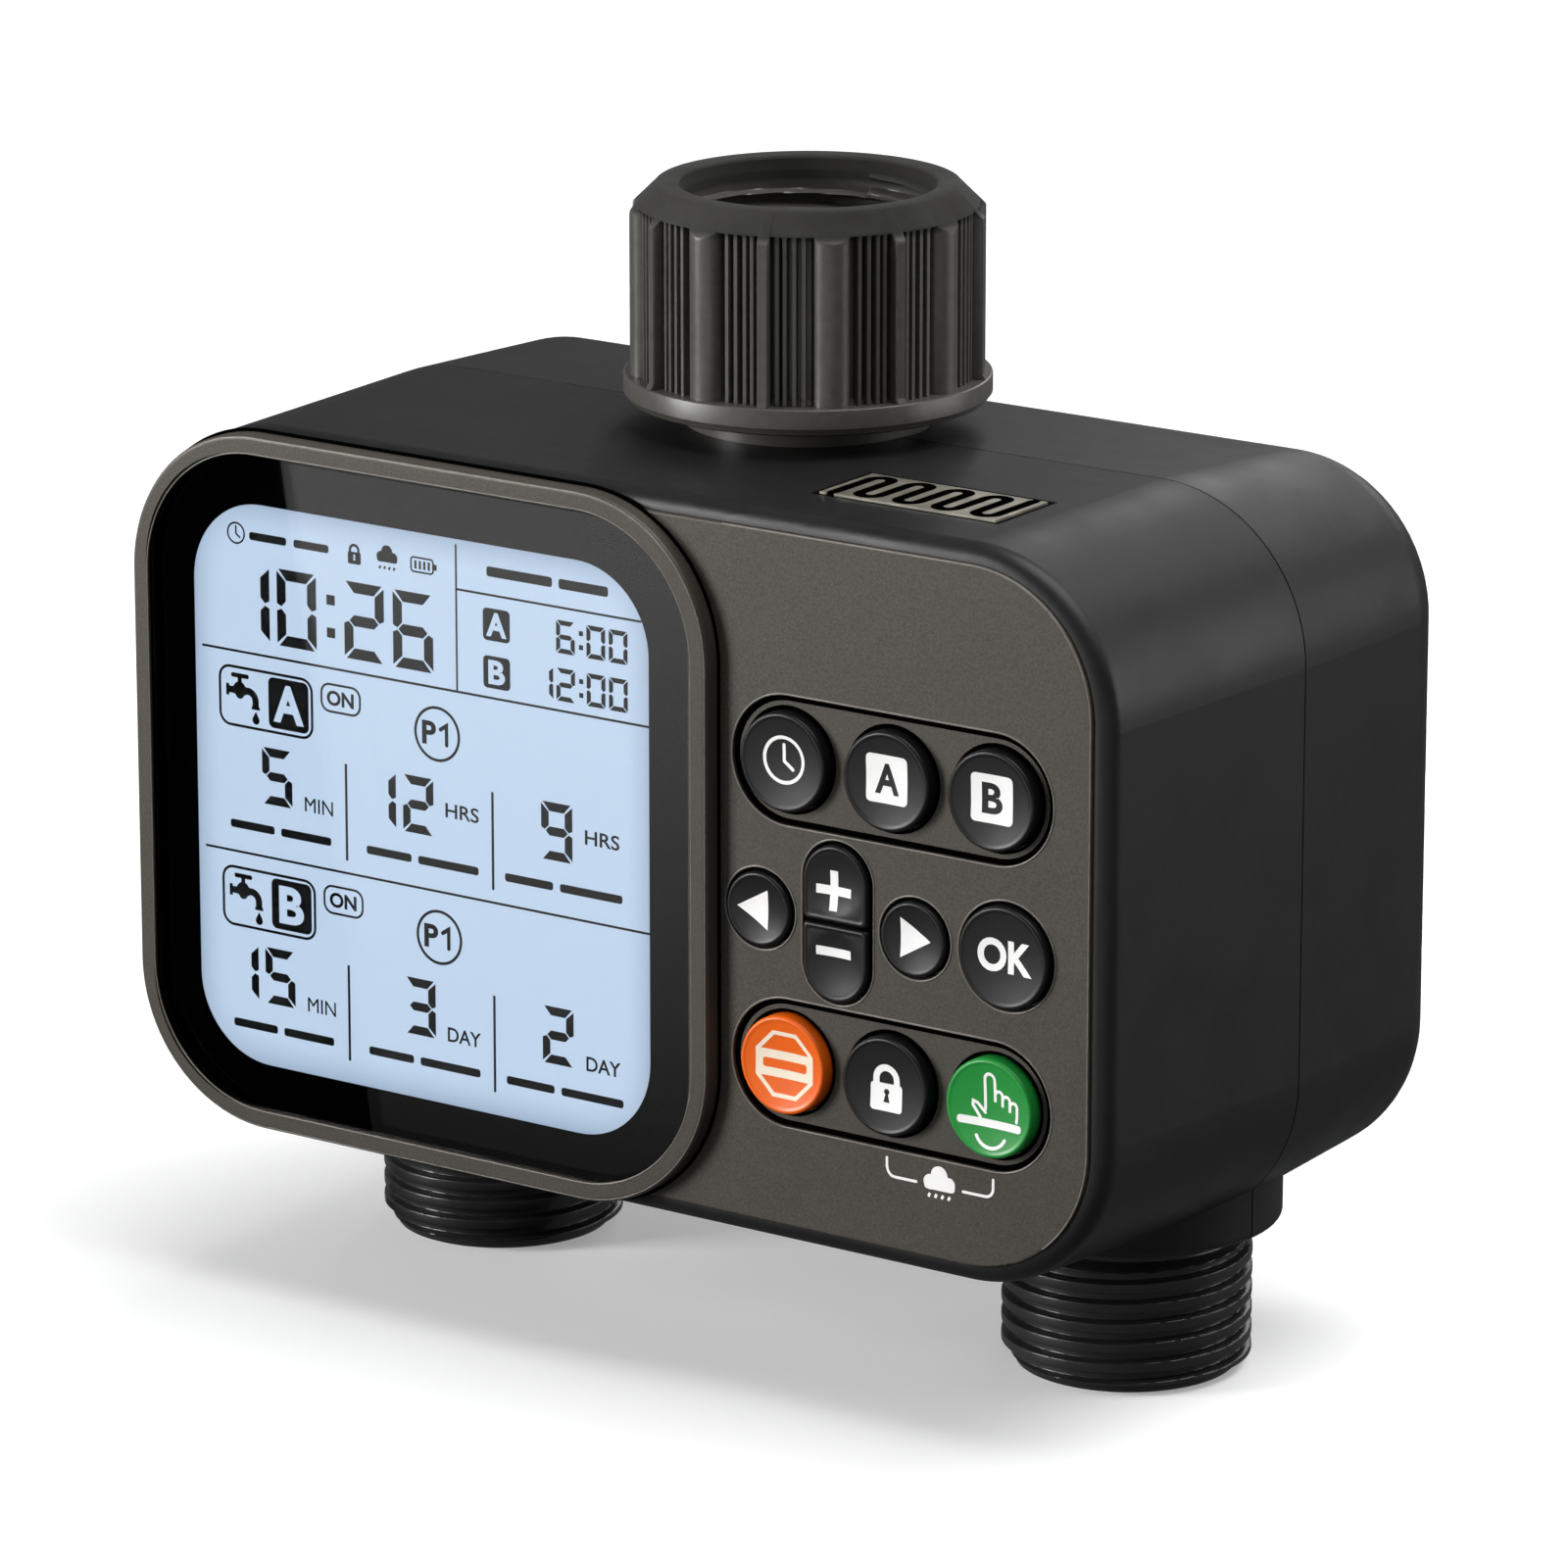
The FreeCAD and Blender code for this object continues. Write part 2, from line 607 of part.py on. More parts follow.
# ---- inlet ----
def swivel_nut():
    body = turned([(LIP_R, NUT_FLANGE_Z[0]), (NUT_FLANGE_R - 0.6, NUT_FLANGE_Z[0]),
                   (NUT_FLANGE_R, NUT_FLANGE_Z[0] + 0.6), (NUT_FLANGE_R, NUT_FLANGE_Z[1] - 0.5),
                   (NUT_FLANGE_R - 0.5, NUT_FLANGE_Z[1]), (NUT_BODY_R, NUT_FLANGE_Z[1]),
                   (NUT_BODY_R, NUT_TOP_Z), (LIP_R, NUT_TOP_Z)], 0, PIPE_Y)
    grips = []
    for i in range(NUT_RIBS):
        rib = block(0, NUT_RIB_R, PIPE_Y - NUT_RIB_WIDTH / 2, PIPE_Y + NUT_RIB_WIDTH / 2, NUT_FLANGE_Z[1], NUT_TOP_Z)
        lobe = rod_z(NUT_RIB_R - NUT_LOBE_R - 0.3, PIPE_Y, NUT_FLANGE_Z[1] + 0.4, NUT_TOP_Z, NUT_LOBE_R)
        turn = 360.0 / NUT_RIBS
        rib.rotate(Vector(0, PIPE_Y, 0), Vector(0, 0, 1), NUT_RIB_ANGLE + i * turn)
        lobe.rotate(Vector(0, PIPE_Y, 0), Vector(0, 0, 1), NUT_RIB_ANGLE + (i + 0.5) * turn)
        grips += [rib, lobe]
    nut = joined([body] + grips)
    slope = (NUT_RIB_R + 0.9 - NUT_RIM_R) / (NUT_TOP_Z - NUT_CHAMFER_Z)
    outside = NUT_RIM_R + slope * (NUT_TOP_Z - NUT_CHAMFER_Z)
    nut = nut.cut(turned([(NUT_RIM_R, NUT_TOP_Z), (outside, NUT_CHAMFER_Z), (outside + 5, NUT_CHAMFER_Z),
                          (outside + 5, NUT_TOP_Z + 1), (NUT_RIM_R, NUT_TOP_Z + 1)], 0, PIPE_Y))
    inside = [(0, NUT_FLANGE_Z[0] - 1), (LIP_R, NUT_FLANGE_Z[0] - 1), (LIP_R, LIP_TOP_Z), (FEMALE_MAJOR_R, LIP_TOP_Z)]
    inside += thread_points(NUT_THREAD_Z, NUT_CRESTS, FEMALE_MAJOR_R, FEMALE_MINOR_R)
    inside += [(NUT_MOUTH_R, NUT_THREAD_Z + NUT_CRESTS * THREAD_PITCH), (NUT_MOUTH_R, NUT_TOP_Z - 0.4),
               (NUT_MOUTH_R + 0.4, NUT_TOP_Z), (NUT_MOUTH_R + 0.4, NUT_TOP_Z + 1), (0, NUT_TOP_Z + 1)]
    return nut.cut(turned(inside, 0, PIPE_Y))


def inlet_spigot():
    z0, z1 = SPIGOT_FLANGE_Z
    return turned([(SPIGOT_BORE_R, SPIGOT_FOOT_Z), (SPIGOT_R, SPIGOT_FOOT_Z), (SPIGOT_R, z0 + 0.01),
                   (SPIGOT_FLANGE_R, z0 + 0.6), (SPIGOT_FLANGE_R, z1), (SPIGOT_BORE_R, z1)], 0, PIPE_Y)


def inlet_seal():
    return tube_z(0, PIPE_Y, SPIGOT_FOOT_Z - 1.4, SPIGOT_FOOT_Z - 0.02, SPIGOT_R - 0.1, SPIGOT_BORE_R)


def inlet_collar():
    z0, z1 = INLET_COLLAR_Z
    ring = tube_z(0, PIPE_Y, z0, z1, INLET_COLLAR_R, SPIGOT_R + 0.05)
    return ring.makeChamfer(0.3, [edge for edge in edges_at_z(ring, z1) if edge.Curve.Radius > SPIGOT_R + 1])


def inlet_filter():
    top = SPIGOT_FLANGE_Z[1] + 0.03
    floor_z = SPIGOT_FOOT_Z + 8
    wall_r = SPIGOT_BORE_R - 0.5
    basket = turned([(0, floor_z), (wall_r, floor_z), (wall_r, top), (SPIGOT_R + 1, top), (SPIGOT_R + 1, top + 0.8),
                     (wall_r - 0.8, top + 0.8), (wall_r - 0.8, floor_z + 0.8), (0, floor_z + 0.8)], 0, PIPE_Y)
    for i in range(4):
        slot = block(-wall_r - 1, wall_r + 1, PIPE_Y - 1.6, PIPE_Y + 1.6, floor_z + 2, top - 2)
        slot.rotate(Vector(0, PIPE_Y, 0), Vector(0, 0, 1), 45 * i)
        basket = basket.cut(slot)
    for x in (-4.5, -1.5, 1.5, 4.5):
        for y in (-4.5, -1.5, 1.5, 4.5):
            basket = basket.cut(rod_z(x, PIPE_Y + y, floor_z - 1, floor_z + 2, 0.9))
    return basket


def inlet_washer():
    z0 = SPIGOT_FLANGE_Z[1] + 0.9
    return tube_z(0, PIPE_Y, z0, z0 + 2.4, SPIGOT_FLANGE_R - 0.1, SPIGOT_BORE_R)


# ---- manifold, valves and outlets ----
def lug_positions(x):
    offset = LUG_CIRCLE_R * math.sqrt(0.5)
    return [(x + sx * offset, PIPE_Y + sy * offset) for sx in (-1, 1) for sy in (-1, 1)]


def manifold():
    solid = [rod_x(-OUTLET_X, OUTLET_X, PIPE_Y, GALLERY_Z, GALLERY_R),
             rod_z(0, PIPE_Y, GALLERY_Z, SOCKET_Z[0], INLET_PIPE_R),
             rod_z(0, PIPE_Y, SOCKET_Z[0] - 2, SOCKET_Z[1], SOCKET_R)]
    hollow = [rod_x(-OUTLET_X, OUTLET_X, PIPE_Y, GALLERY_Z, GALLERY_BORE_R),
              rod_z(0, PIPE_Y, GALLERY_Z, SOCKET_Z[1], INLET_PIPE_BORE_R),
              rod_z(0, PIPE_Y, SPIGOT_FOOT_Z - 1.45, SOCKET_Z[1] + 1, SPIGOT_R + 0.05)]
    seats = []
    for x in OUTLETS.values():
        solid.append(rod_z(x, PIPE_Y, CHAMBER_Z[0], CHAMBER_Z[1], CHAMBER_R))
        solid += [rod_z(u, v, CHAMBER_FLOOR_Z, CHAMBER_Z[1], LUG_R) for u, v in lug_positions(x)]
        hollow.append(rod_z(x, PIPE_Y, CHAMBER_FLOOR_Z, CHAMBER_Z[1] + 1, CHAMBER_BORE_R))
        hollow += [rod_z(u, v, CHAMBER_FLOOR_Z + 2, CHAMBER_Z[1] + 1, 1.28) for u, v in lug_positions(x)]
        seats.append(rod_z(x, PIPE_Y, CHAMBER_FLOOR_Z - 0.5, SEAT_TOP_Z, SEAT_R))
    body = joined(solid)
    for cut in hollow:
        body = body.cut(cut)
    body = joined([body] + seats)
    for x in OUTLETS.values():
        body = body.cut(rod_z(x, PIPE_Y, CHAMBER_Z[0] - 1, SEAT_TOP_Z + 1, SEAT_BORE_R))
        body = body.cut(rod_z(x, PIPE_Y, CHAMBER_Z[0] - 1, OUTLET_SOCKET_TOP_Z, OUTLET_SOCKET_R))
    return body


def outlet(x):
    """A threaded hose spigot: it comes up through the collar and plugs into its valve chamber."""
    lead = OUTLET_LEAD_Z
    top = CHAMBER_Z[0] - 0.05
    points = [(OUTLET_BORE_R, OUTLET_END_Z), (OUTLET_LEAD_R - 0.5, OUTLET_END_Z),
              (OUTLET_LEAD_R, OUTLET_END_Z + 0.5), (OUTLET_LEAD_R, lead - 0.3)]
    points += thread_points(lead, OUTLET_CRESTS, MALE_MINOR_R - 0.15, MALE_MAJOR_R)
    neck_r = OUTLET_SOCKET_R - 0.1
    points += [(MALE_MINOR_R - 0.15, -35.3), (MALE_MINOR_R + 0.2, -35.0), (MALE_MINOR_R + 0.2, top), (neck_r, top),
               (neck_r, OUTLET_SOCKET_TOP_Z - 1.6), (SEAT_BORE_R, OUTLET_SOCKET_TOP_Z - 1.6), (SEAT_BORE_R, -34.0)]
    return turned(points, x, PIPE_Y)


def outlet_seals():
    z1 = OUTLET_SOCKET_TOP_Z - 0.02
    return group([tube_z(x, PIPE_Y, z1 - 1.5, z1, OUTLET_SOCKET_R - 0.1, SEAT_BORE_R + 2.6) for x in OUTLETS.values()])


def diaphragm(x):
    z0, z1 = DIAPHRAGM_Z
    return turned([(0, SEAT_TOP_Z + 0.02), (SEAT_R + 0.4, SEAT_TOP_Z + 0.02), (SEAT_R + 0.9, z0 + 0.9),
                   (CHAMBER_BORE_R - 0.3, z0 + 0.02), (DIAPHRAGM_R, z0 + 0.02), (DIAPHRAGM_R, z1),
                   (CHAMBER_BORE_R, z1), (CHAMBER_BORE_R - 1, z1 + 0.6), (SEAT_R, z1 + 0.6), (SEAT_R - 1, z1),
                   (0, z1)], x, PIPE_Y)


def bonnet(x):
    """The cap that clamps a diaphragm, with the closed tube that the coil slips over."""
    z0, z1 = BONNET_Z
    cap = [rod_z(x, PIPE_Y, z0, z1, CHAMBER_R), rod_z(x, PIPE_Y, z1 - 1, BONNET_HUB_TOP_Z, CHAMBER_R - 2.5),
           rod_z(x, PIPE_Y, z1, CORE_TOP_Z, CORE_TUBE_R)]
    cap += [rod_z(u, v, z0, z1, LUG_R) for u, v in lug_positions(x)]
    body = joined(cap)
    cuts = [rod_z(x, PIPE_Y, z0 - 1, z0 + 1.6, CHAMBER_BORE_R + 0.05),
            rod_z(x, PIPE_Y, PLUNGER_Z[0] - 0.05, CORE_TOP_Z - 1.5, CORE_BORE_R),
            rod_z(x, PIPE_Y, z0 - 1, PLUNGER_Z[0], 0.6)]
    cuts += [rod_z(u, v, z0 - 1, z1 + 1, 1.5) for u, v in lug_positions(x)]
    for cut in cuts:
        body = body.cut(cut)
    return body


def bonnet_screws():
    screws = []
    for x in OUTLETS.values():
        for u, v in lug_positions(x):
            head = rod_z(u, v, BONNET_Z[1] + 0.03, BONNET_Z[1] + 1.8, 2.3)
            screws.append(head.fuse(rod_z(u, v, BONNET_Z[1] - 12.5, BONNET_Z[1] + 0.1, 1.25)))
    return group(screws)


def solenoid_coil(x):
    z0, z1 = COIL_Z
    bobbin = tube_z(x, PIPE_Y, z0, z1, COIL_R, CORE_TUBE_R + 0.1)
    winding_gap = tube_z(x, PIPE_Y, z0 + 1.6, z1 - 1.6, COIL_R + 1, COIL_R - 0.8)
    return bobbin.cut(winding_gap)


def plunger(x):
    z0, z1 = PLUNGER_Z
    body = rod_z(x, PIPE_Y, z0, z1, PLUNGER_R)
    return body.makeChamfer(0.4, edges_at_z(body, z0) + edges_at_z(body, z1))


def plunger_spring(x):
    """A closed coil spring between the plunger and the top of its tube."""
    z0, z1 = PLUNGER_Z[1] + SPRING_WIRE_R + 0.02, SPRING_TOP_Z - SPRING_WIRE_R
    height = z1 - z0
    path = Part.Wire(Part.makeHelix(height / SPRING_TURNS, height, SPRING_MEAN_R))
    circle = Part.Wire(Part.makeCircle(SPRING_WIRE_R, Vector(SPRING_MEAN_R, 0, 0), Vector(0, 1, 0)))
    coil = path.makePipeShell([circle], True, True)
    coil.translate(Vector(x, PIPE_Y, z0))
    return coil


# ---- batteries ----
def battery_x(i):
    return (i - (BATTERY_COUNT - 1) / 2) * BATTERY_PITCH


def battery_y():
    return BOX_Y[0] + BOX_WALL + BATTERY_R + 0.3


def battery_box():
    x0, x1, z0, z1 = BOX_OUTER
    w = BOX_WALL
    box = block(x0, x1, BOX_Y[0], BOX_Y[1], z0, z1)
    box = box.cut(block(x0 + w, x1 - w, BOX_Y[0] + w, BOX_Y[1] + 1, z0 + w, z1 - w))
    ribs = []
    for i in range(BATTERY_COUNT - 1):
        x = (battery_x(i) + battery_x(i + 1)) / 2
        ribs.append(block(x - 0.25, x + 0.25, BOX_Y[0] + w - 0.1, BOX_Y[0] + w + 2.2, -20, 15))
    return joined([box] + ribs)


def battery(i):
    """One AAA cell; every second one stands on its head."""
    x = battery_x(i)
    z0, z1 = BATTERY_Z
    can = rod_z(x, battery_y(), z0, z1, BATTERY_R)
    can = can.makeFillet(0.5, edges_at_z(can, z0) + edges_at_z(can, z1))
    nub = rod_z(x, battery_y(), z1 - 0.1, z1 + BATTERY_NUB_T, BATTERY_NUB_R)
    cell = can.fuse(nub)
    if i % 2:
        cell.rotate(Vector(x, battery_y(), (z0 + z1) / 2), Vector(0, 1, 0), 180)
    return cell


def battery_contacts():
    """A flat plate at each nub and a coiled cone at each flat end, drawn as short turned cones."""
    x0, x1, z0, z1 = BOX_OUTER
    top, bottom = z1 - BOX_WALL - 0.05, z0 + BOX_WALL + 0.05
    plates = []
    for i in range(BATTERY_COUNT):
        x = battery_x(i)
        for side, edge in ((1, top), (-1, bottom)):
            plate_z = (edge - 0.4, edge) if side == 1 else (edge, edge + 0.4)
            plate = block(x - 4.2, x + 4.2, battery_y() - 4, battery_y() + 4, plate_z[0], plate_z[1])
            flat_end = (side == -1) if i % 2 == 0 else (side == 1)
            cell_end = (BATTERY_Z[1] if side == 1 else BATTERY_Z[0])
            if flat_end:
                base = plate_z[0] if side == 1 else plate_z[1]
                height = abs(cell_end - base) - 0.15
                cone = Part.makeCone(3.6, 2.2, height, Vector(x, battery_y(), base), Vector(0, 0, -side))
                plate = plate.fuse(cone)
            plates.append(plate)
    return group(plates)


def battery_door():
    plate = sheet(DOOR, DOOR_Y[0], DOOR_Y[1])
    plate = plate.makeFillet(0.8, edges_at_y(plate, DOOR_Y[1]))
    plate = plate.cut(door_seal(0.05))
    pieces = [plate]
    for x0, x1 in DOOR_KNUCKLES:
        web = block(x0, x1, DOOR_Y[0] + 0.2, DOOR_Y[1] - 0.3, DOOR[1] + DOOR[3] - 1, HINGE_Z)
        pieces.append(rod_x(x0, x1, HINGE_Y, HINGE_Z, HINGE_R).fuse(web))
    low = DOOR[1] - DOOR[3]
    tab = block(-7, 7, DOOR_Y[0] + 0.3, DOOR_Y[1] - 0.5, low - 2.6, low + 1)
    pieces.append(tab)
    door = joined(pieces)
    for i in range(4):
        z = low + 5 + 2.2 * i
        door = door.cut(block(-9, 9, DOOR_Y[1] - 0.5, DOOR_Y[1] + 1, z, z + 1.0))
    return door.cut(rod_x(-30, 30, HINGE_Y, HINGE_Z, HINGE_PIN_R + 0.07))


def door_seal(clearance):
    x0, x1, z0, z1 = DOOR_OPENING
    cz = (z0 + z1) / 2
    form = (0.0, cz, x1 + 0.8 + DOOR_SEAL_W, (z1 - z0) / 2 + 0.8 + DOOR_SEAL_W, 3.0)
    y0, y1 = DOOR_Y[0] - 0.15, DOOR_Y[0] + 1.0
    outer = sheet(form, y0, y1 + clearance, clearance)
    return outer.cut(sheet(form, y0 - 1, y1 + 1, -DOOR_SEAL_W - clearance))


def hinge_pin():
    return rod_x(CASE_KNUCKLES[0][0], CASE_KNUCKLES[-1][1], HINGE_Y, HINGE_Z, HINGE_PIN_R)


def main():
    save("front_housing", front_housing())
    save("rear_housing", rear_housing())
    save("housing_seal", housing_seal())
    save("housing_screws", housing_screws())
    save("screen_bezel", screen_bezel())
    save("display_lens", display_lens())
    save("lcd_panel", lcd_panel())
    save("lcd_backlight", lcd_backlight())
    save("face_plate", face_plate())
    for key in KEYS:
        save(key[0], key_cap(key))
    save("keypad_mat", keypad_mat())
    save("circuit_board", circuit_board())
    save("tact_switches", tact_switches())
    save("board_screws", board_screws())
    save("rain_sensor_plate", rain_sensor_plate())
    save("rain_sensor_electrodes", rain_sensor_electrodes())
    save("swivel_nut", swivel_nut())
    save("inlet_spigot", inlet_spigot())
    save("inlet_seal", inlet_seal())
    save("inlet_collar", inlet_collar())
    save("inlet_filter", inlet_filter())
    save("inlet_washer", inlet_washer())
    save("manifold", manifold())
    save("outlet_seals", outlet_seals())
    save("bonnet_screws", bonnet_screws())
    for letter, x in OUTLETS.items():
        save("outlet_" + letter, outlet(x))
        save("diaphragm_" + letter, diaphragm(x))
        save("bonnet_" + letter, bonnet(x))
        save("solenoid_coil_" + letter, solenoid_coil(x))
        save("plunger_" + letter, plunger(x))
        save("plunger_spring_" + letter, plunger_spring(x))
    save("battery_box", battery_box())
    for i in range(BATTERY_COUNT):
        save("battery_" + str(i + 1), battery(i))
    save("battery_contacts", battery_contacts())
    save("battery_door", battery_door())
    save("battery_door_seal", door_seal(0.0))
    save("hinge_pin", hinge_pin())


main()
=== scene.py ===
import bmesh
import bpy
import json
import math
from mathutils import Matrix, Vector
from mathutils.geometry import tessellate_polygon


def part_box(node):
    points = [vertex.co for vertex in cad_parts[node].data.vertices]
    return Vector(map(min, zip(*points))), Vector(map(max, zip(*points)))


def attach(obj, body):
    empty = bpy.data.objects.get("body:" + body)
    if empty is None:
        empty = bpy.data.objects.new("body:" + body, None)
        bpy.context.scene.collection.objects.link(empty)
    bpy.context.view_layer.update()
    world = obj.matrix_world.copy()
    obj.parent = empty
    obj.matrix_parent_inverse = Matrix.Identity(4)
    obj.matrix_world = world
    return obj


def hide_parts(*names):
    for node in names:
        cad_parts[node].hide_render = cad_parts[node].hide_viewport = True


# A two-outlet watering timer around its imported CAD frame. Drawing units are millimetres in a body
# frame: x to the right, y into the case from the face plate's front, z up from the plate's middle.

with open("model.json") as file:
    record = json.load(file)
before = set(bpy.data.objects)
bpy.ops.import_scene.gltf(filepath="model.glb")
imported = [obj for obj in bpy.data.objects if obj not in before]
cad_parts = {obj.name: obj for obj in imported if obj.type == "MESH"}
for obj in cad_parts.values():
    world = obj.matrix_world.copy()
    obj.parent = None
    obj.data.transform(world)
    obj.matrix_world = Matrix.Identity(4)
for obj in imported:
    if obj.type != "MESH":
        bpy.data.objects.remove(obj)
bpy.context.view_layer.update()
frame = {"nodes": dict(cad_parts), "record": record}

MM = 0.001
PLATE_LOW, PLATE_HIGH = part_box("face_plate")
BODY_ORIGIN = Vector((0.0, PLATE_LOW.y, (PLATE_LOW.z + PLATE_HIGH.z) / 2))


def spot(x, y, z):
    """A point in body millimetres, as a point of the row frame in metres."""
    return BODY_ORIGIN + Vector((x, y, z)) * MM


def body_box(node):
    """A CAD node's box in body millimetres."""
    low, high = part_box(node)
    return (low - BODY_ORIGIN) / MM, (high - BODY_ORIGIN) / MM


def linked(name, data):
    """A new object in the scene."""
    made = bpy.data.objects.new(name, data)
    bpy.context.scene.collection.objects.link(made)
    return made


# ---- materials ----
NOISE_LOW, NOISE_HIGH = 0.3, 0.7


class Surface:
    """A Principled material whose colour, roughness and bump come from noise in object space."""

    def __init__(self, name, colour, roughness, specular=0.5, metallic=0.0):
        self.material = bpy.data.materials.new(name)
        self.material.use_nodes = True
        self.tree = self.material.node_tree
        self.shader = self.tree.nodes["Principled BSDF"]
        self.put("Base Color", (*colour, 1.0))
        self.put("Roughness", roughness)
        self.put("Specular IOR Level", specular)
        self.put("Metallic", metallic)
        self.colour = colour
        self.roughness = roughness
        self.place = self.node("ShaderNodeTexCoord").outputs["Object"]

    def node(self, kind, **values):
        made = self.tree.nodes.new(kind)
        for key, value in values.items():
            setattr(made, key, value)
        return made

    def link(self, source, target):
        self.tree.links.new(source, target)

    def put(self, name, value):
        """Set one of the shader's inputs."""
        self.shader.inputs[name].default_value = value

    def feed(self, source, name):
        """Drive one of the shader's inputs."""
        self.link(source, self.shader.inputs[name])

    def source(self, name):
        """What drives one of the shader's inputs now."""
        return self.shader.inputs[name].links[0].from_socket

    def axis(self, name):
        """The object-space coordinate along one axis."""
        split = self.node("ShaderNodeSeparateXYZ")
        self.link(self.place, split.inputs[0])
        return split.outputs[name]

    def maths(self, operation, *values):
        """A sum on sockets and plain numbers."""
        made = self.node("ShaderNodeMath", operation=operation)
        for value, target in zip(values, made.inputs):
            if isinstance(value, float):
                target.default_value = value
            else:
                self.link(value, target)
        return made.outputs[0]

    def mapped(self, source, start, end, first=0.0, last=1.0):
        """A value that goes from first to last while the source goes from start to end."""
        scale = self.node("ShaderNodeMapRange")
        for key, value in (("From Min", start), ("From Max", end), ("To Min", first), ("To Max", last)):
            scale.inputs[key].default_value = value
        self.link(source, scale.inputs["Value"])
        return scale.outputs["Result"]

    def noise(self, size_mm, detail=2.0, stretch=(1.0, 1.0, 1.0)):
        """Noise whose blobs are about size_mm across, stretched along an axis by a factor under 1."""
        mapping = self.node("ShaderNodeMapping")
        mapping.inputs["Scale"].default_value = stretch
        self.link(self.place, mapping.inputs["Vector"])
        noise = self.node("ShaderNodeTexNoise")
        noise.inputs["Scale"].default_value = 1.0 / (size_mm * MM)
        noise.inputs["Detail"].default_value = detail
        self.link(mapping.outputs["Vector"], noise.inputs["Vector"])
        return noise.outputs["Fac"]

    def ramp(self, fac, low, high, low_at=NOISE_LOW, high_at=NOISE_HIGH):
        ramp = self.node("ShaderNodeValToRGB")
        ends = ramp.color_ramp.elements
        ends[0].position, ends[1].position = low_at, high_at
        ends[0].color, ends[1].color = low, high
        self.link(fac, ramp.inputs["Fac"])
        return ramp.outputs["Color"]

    def mottle(self, size_mm, amount, detail=3.0, stretch=(1.0, 1.0, 1.0)):
        """The base colour drifts lighter and darker by amount."""
        dark = tuple(c * (1 - amount) for c in self.colour) + (1.0,)
        light = tuple(min(1.0, c * (1 + amount)) for c in self.colour) + (1.0,)
        self.feed(self.ramp(self.noise(size_mm, detail, stretch), dark, light), "Base Color")
        return self

    def wear(self, size_mm, amount):
        """The roughness drifts by amount, as handled plastic does."""
        low, high = self.roughness - amount, self.roughness + amount
        self.feed(self.mapped(self.noise(size_mm, 4.0), NOISE_LOW, NOISE_HIGH, low, high), "Roughness")
        return self

    def grain(self, size_mm, depth_mm, detail=2.0, stretch=(1.0, 1.0, 1.0)):
        """A bump of that grain size and depth."""
        bump = self.node("ShaderNodeBump")
        bump.inputs["Strength"].default_value = 1.0
        bump.inputs["Distance"].default_value = depth_mm * MM
        self.link(self.noise(size_mm, detail, stretch), bump.inputs["Height"])
        self.feed(bump.outputs["Normal"], "Normal")
        return self

    def fade(self, z_from, z_to, shade, dulling):
        """Between two heights the colour falls to shade of itself, as painted shade, and the roughness grows
        by dulling.
        """
        dimmed = self.node("ShaderNodeVectorMath", operation="SCALE")
        self.link(self.source("Base Color"), dimmed.inputs[0])
        self.link(self.mapped(self.axis("Z"), z_from, z_to, 1.0, shade), dimmed.inputs["Scale"])
        self.feed(dimmed.outputs["Vector"], "Base Color")
        growth = self.mapped(self.axis("Z"), z_from, z_to, 1.0, dulling)
        self.feed(self.maths("MULTIPLY", self.source("Roughness"), growth), "Roughness")
        return self


def plastic(name, colour, roughness, specular, grain_mm=0.28, depth_mm=0.012, mottling=0.12):
    made = Surface(name, colour, roughness, specular)
    return made.mottle(1.1, mottling).wear(9.0, 0.05).grain(grain_mm, depth_mm).material


def metal(name, colour, roughness, stretch=(1.0, 1.0, 1.0), metallic=1.0):
    made = Surface(name, colour, roughness, 0.5, metallic)
    return made.mottle(2.0, 0.12, 3.0, stretch).wear(3.0, 0.08).grain(0.15, 0.003, 2.0, stretch).material


def painted_panel():
    """Taupe paint with fine metal flake."""
    made = Surface("face_panel", (0.062, 0.056, 0.046), 0.46, 0.28, 0.25)
    return made.mottle(0.22, 0.22, 2.0).wear(7.0, 0.05).grain(0.3, 0.012).material


def nut_moulding():
    """Grey moulded plastic, duller on the chamfer and in the mouth than on the grip; there its colour also
    falls to a quarter as painted shade, which keeps the upward-facing chamfer dark under the overhead lamp.
    """
    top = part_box("swivel_nut")[1].z
    grip_end, chamfer_start = top - 3.2 * MM, top - 2.4 * MM
    made = Surface("nut_plastic", (0.07, 0.067, 0.059), 0.34, 0.46)
    made.mottle(1.1, 0.12).wear(9.0, 0.05).grain(0.24, 0.008)
    # Painted shade: the colour darkens towards the top, so the chamfer that faces the overhead lamp looks
    # dark.
    return made.fade(grip_end, chamfer_start, 0.24, 2.6).material


def lens_glass():
    made = Surface("display_glass", (0.98, 0.98, 0.98), 0.015, 0.5)
    made.put("Transmission Weight", 1.0)
    made.put("IOR", 1.42)
    return made.material


LCD_MIDDLE = (0.545, 0.69, 0.88, 1.0)
LCD_RIM = (0.30, 0.40, 0.55, 1.0)
LCD_SQUARENESS = 11.0


def lit_display():
    """A backlit liquid crystal: pale blue, a little darker towards its rounded edge."""
    made = Surface("lcd", (0.02, 0.025, 0.03), 0.5, 0.2)
    low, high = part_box("lcd_panel")
    middle = (low + high) / 2
    half = (high - low) / 2
    reach = []
    for axis, index in (("X", 0), ("Z", 2)):
        offset = made.maths("SUBTRACT", made.axis(axis), middle[index])
        share = made.maths("DIVIDE", offset, half[index])
        reach.append(made.maths("POWER", made.maths("ABSOLUTE", share), LCD_SQUARENESS))
    made.feed(made.ramp(made.maths("ADD", *reach), LCD_MIDDLE, LCD_RIM, 0.25, 1.0), "Emission Color")
    made.put("Emission Strength", 0.99)
    return made.grain(0.35, 0.002).material


STEEL_END = (0.45, 0.45, 0.46, 1.0)
BATTERY_BANDS = ((0.0, STEEL_END), (0.04, (0.03, 0.10, 0.07, 1.0)), (0.62, (0.62, 0.55, 0.38, 1.0)),
                 (0.95, STEEL_END))


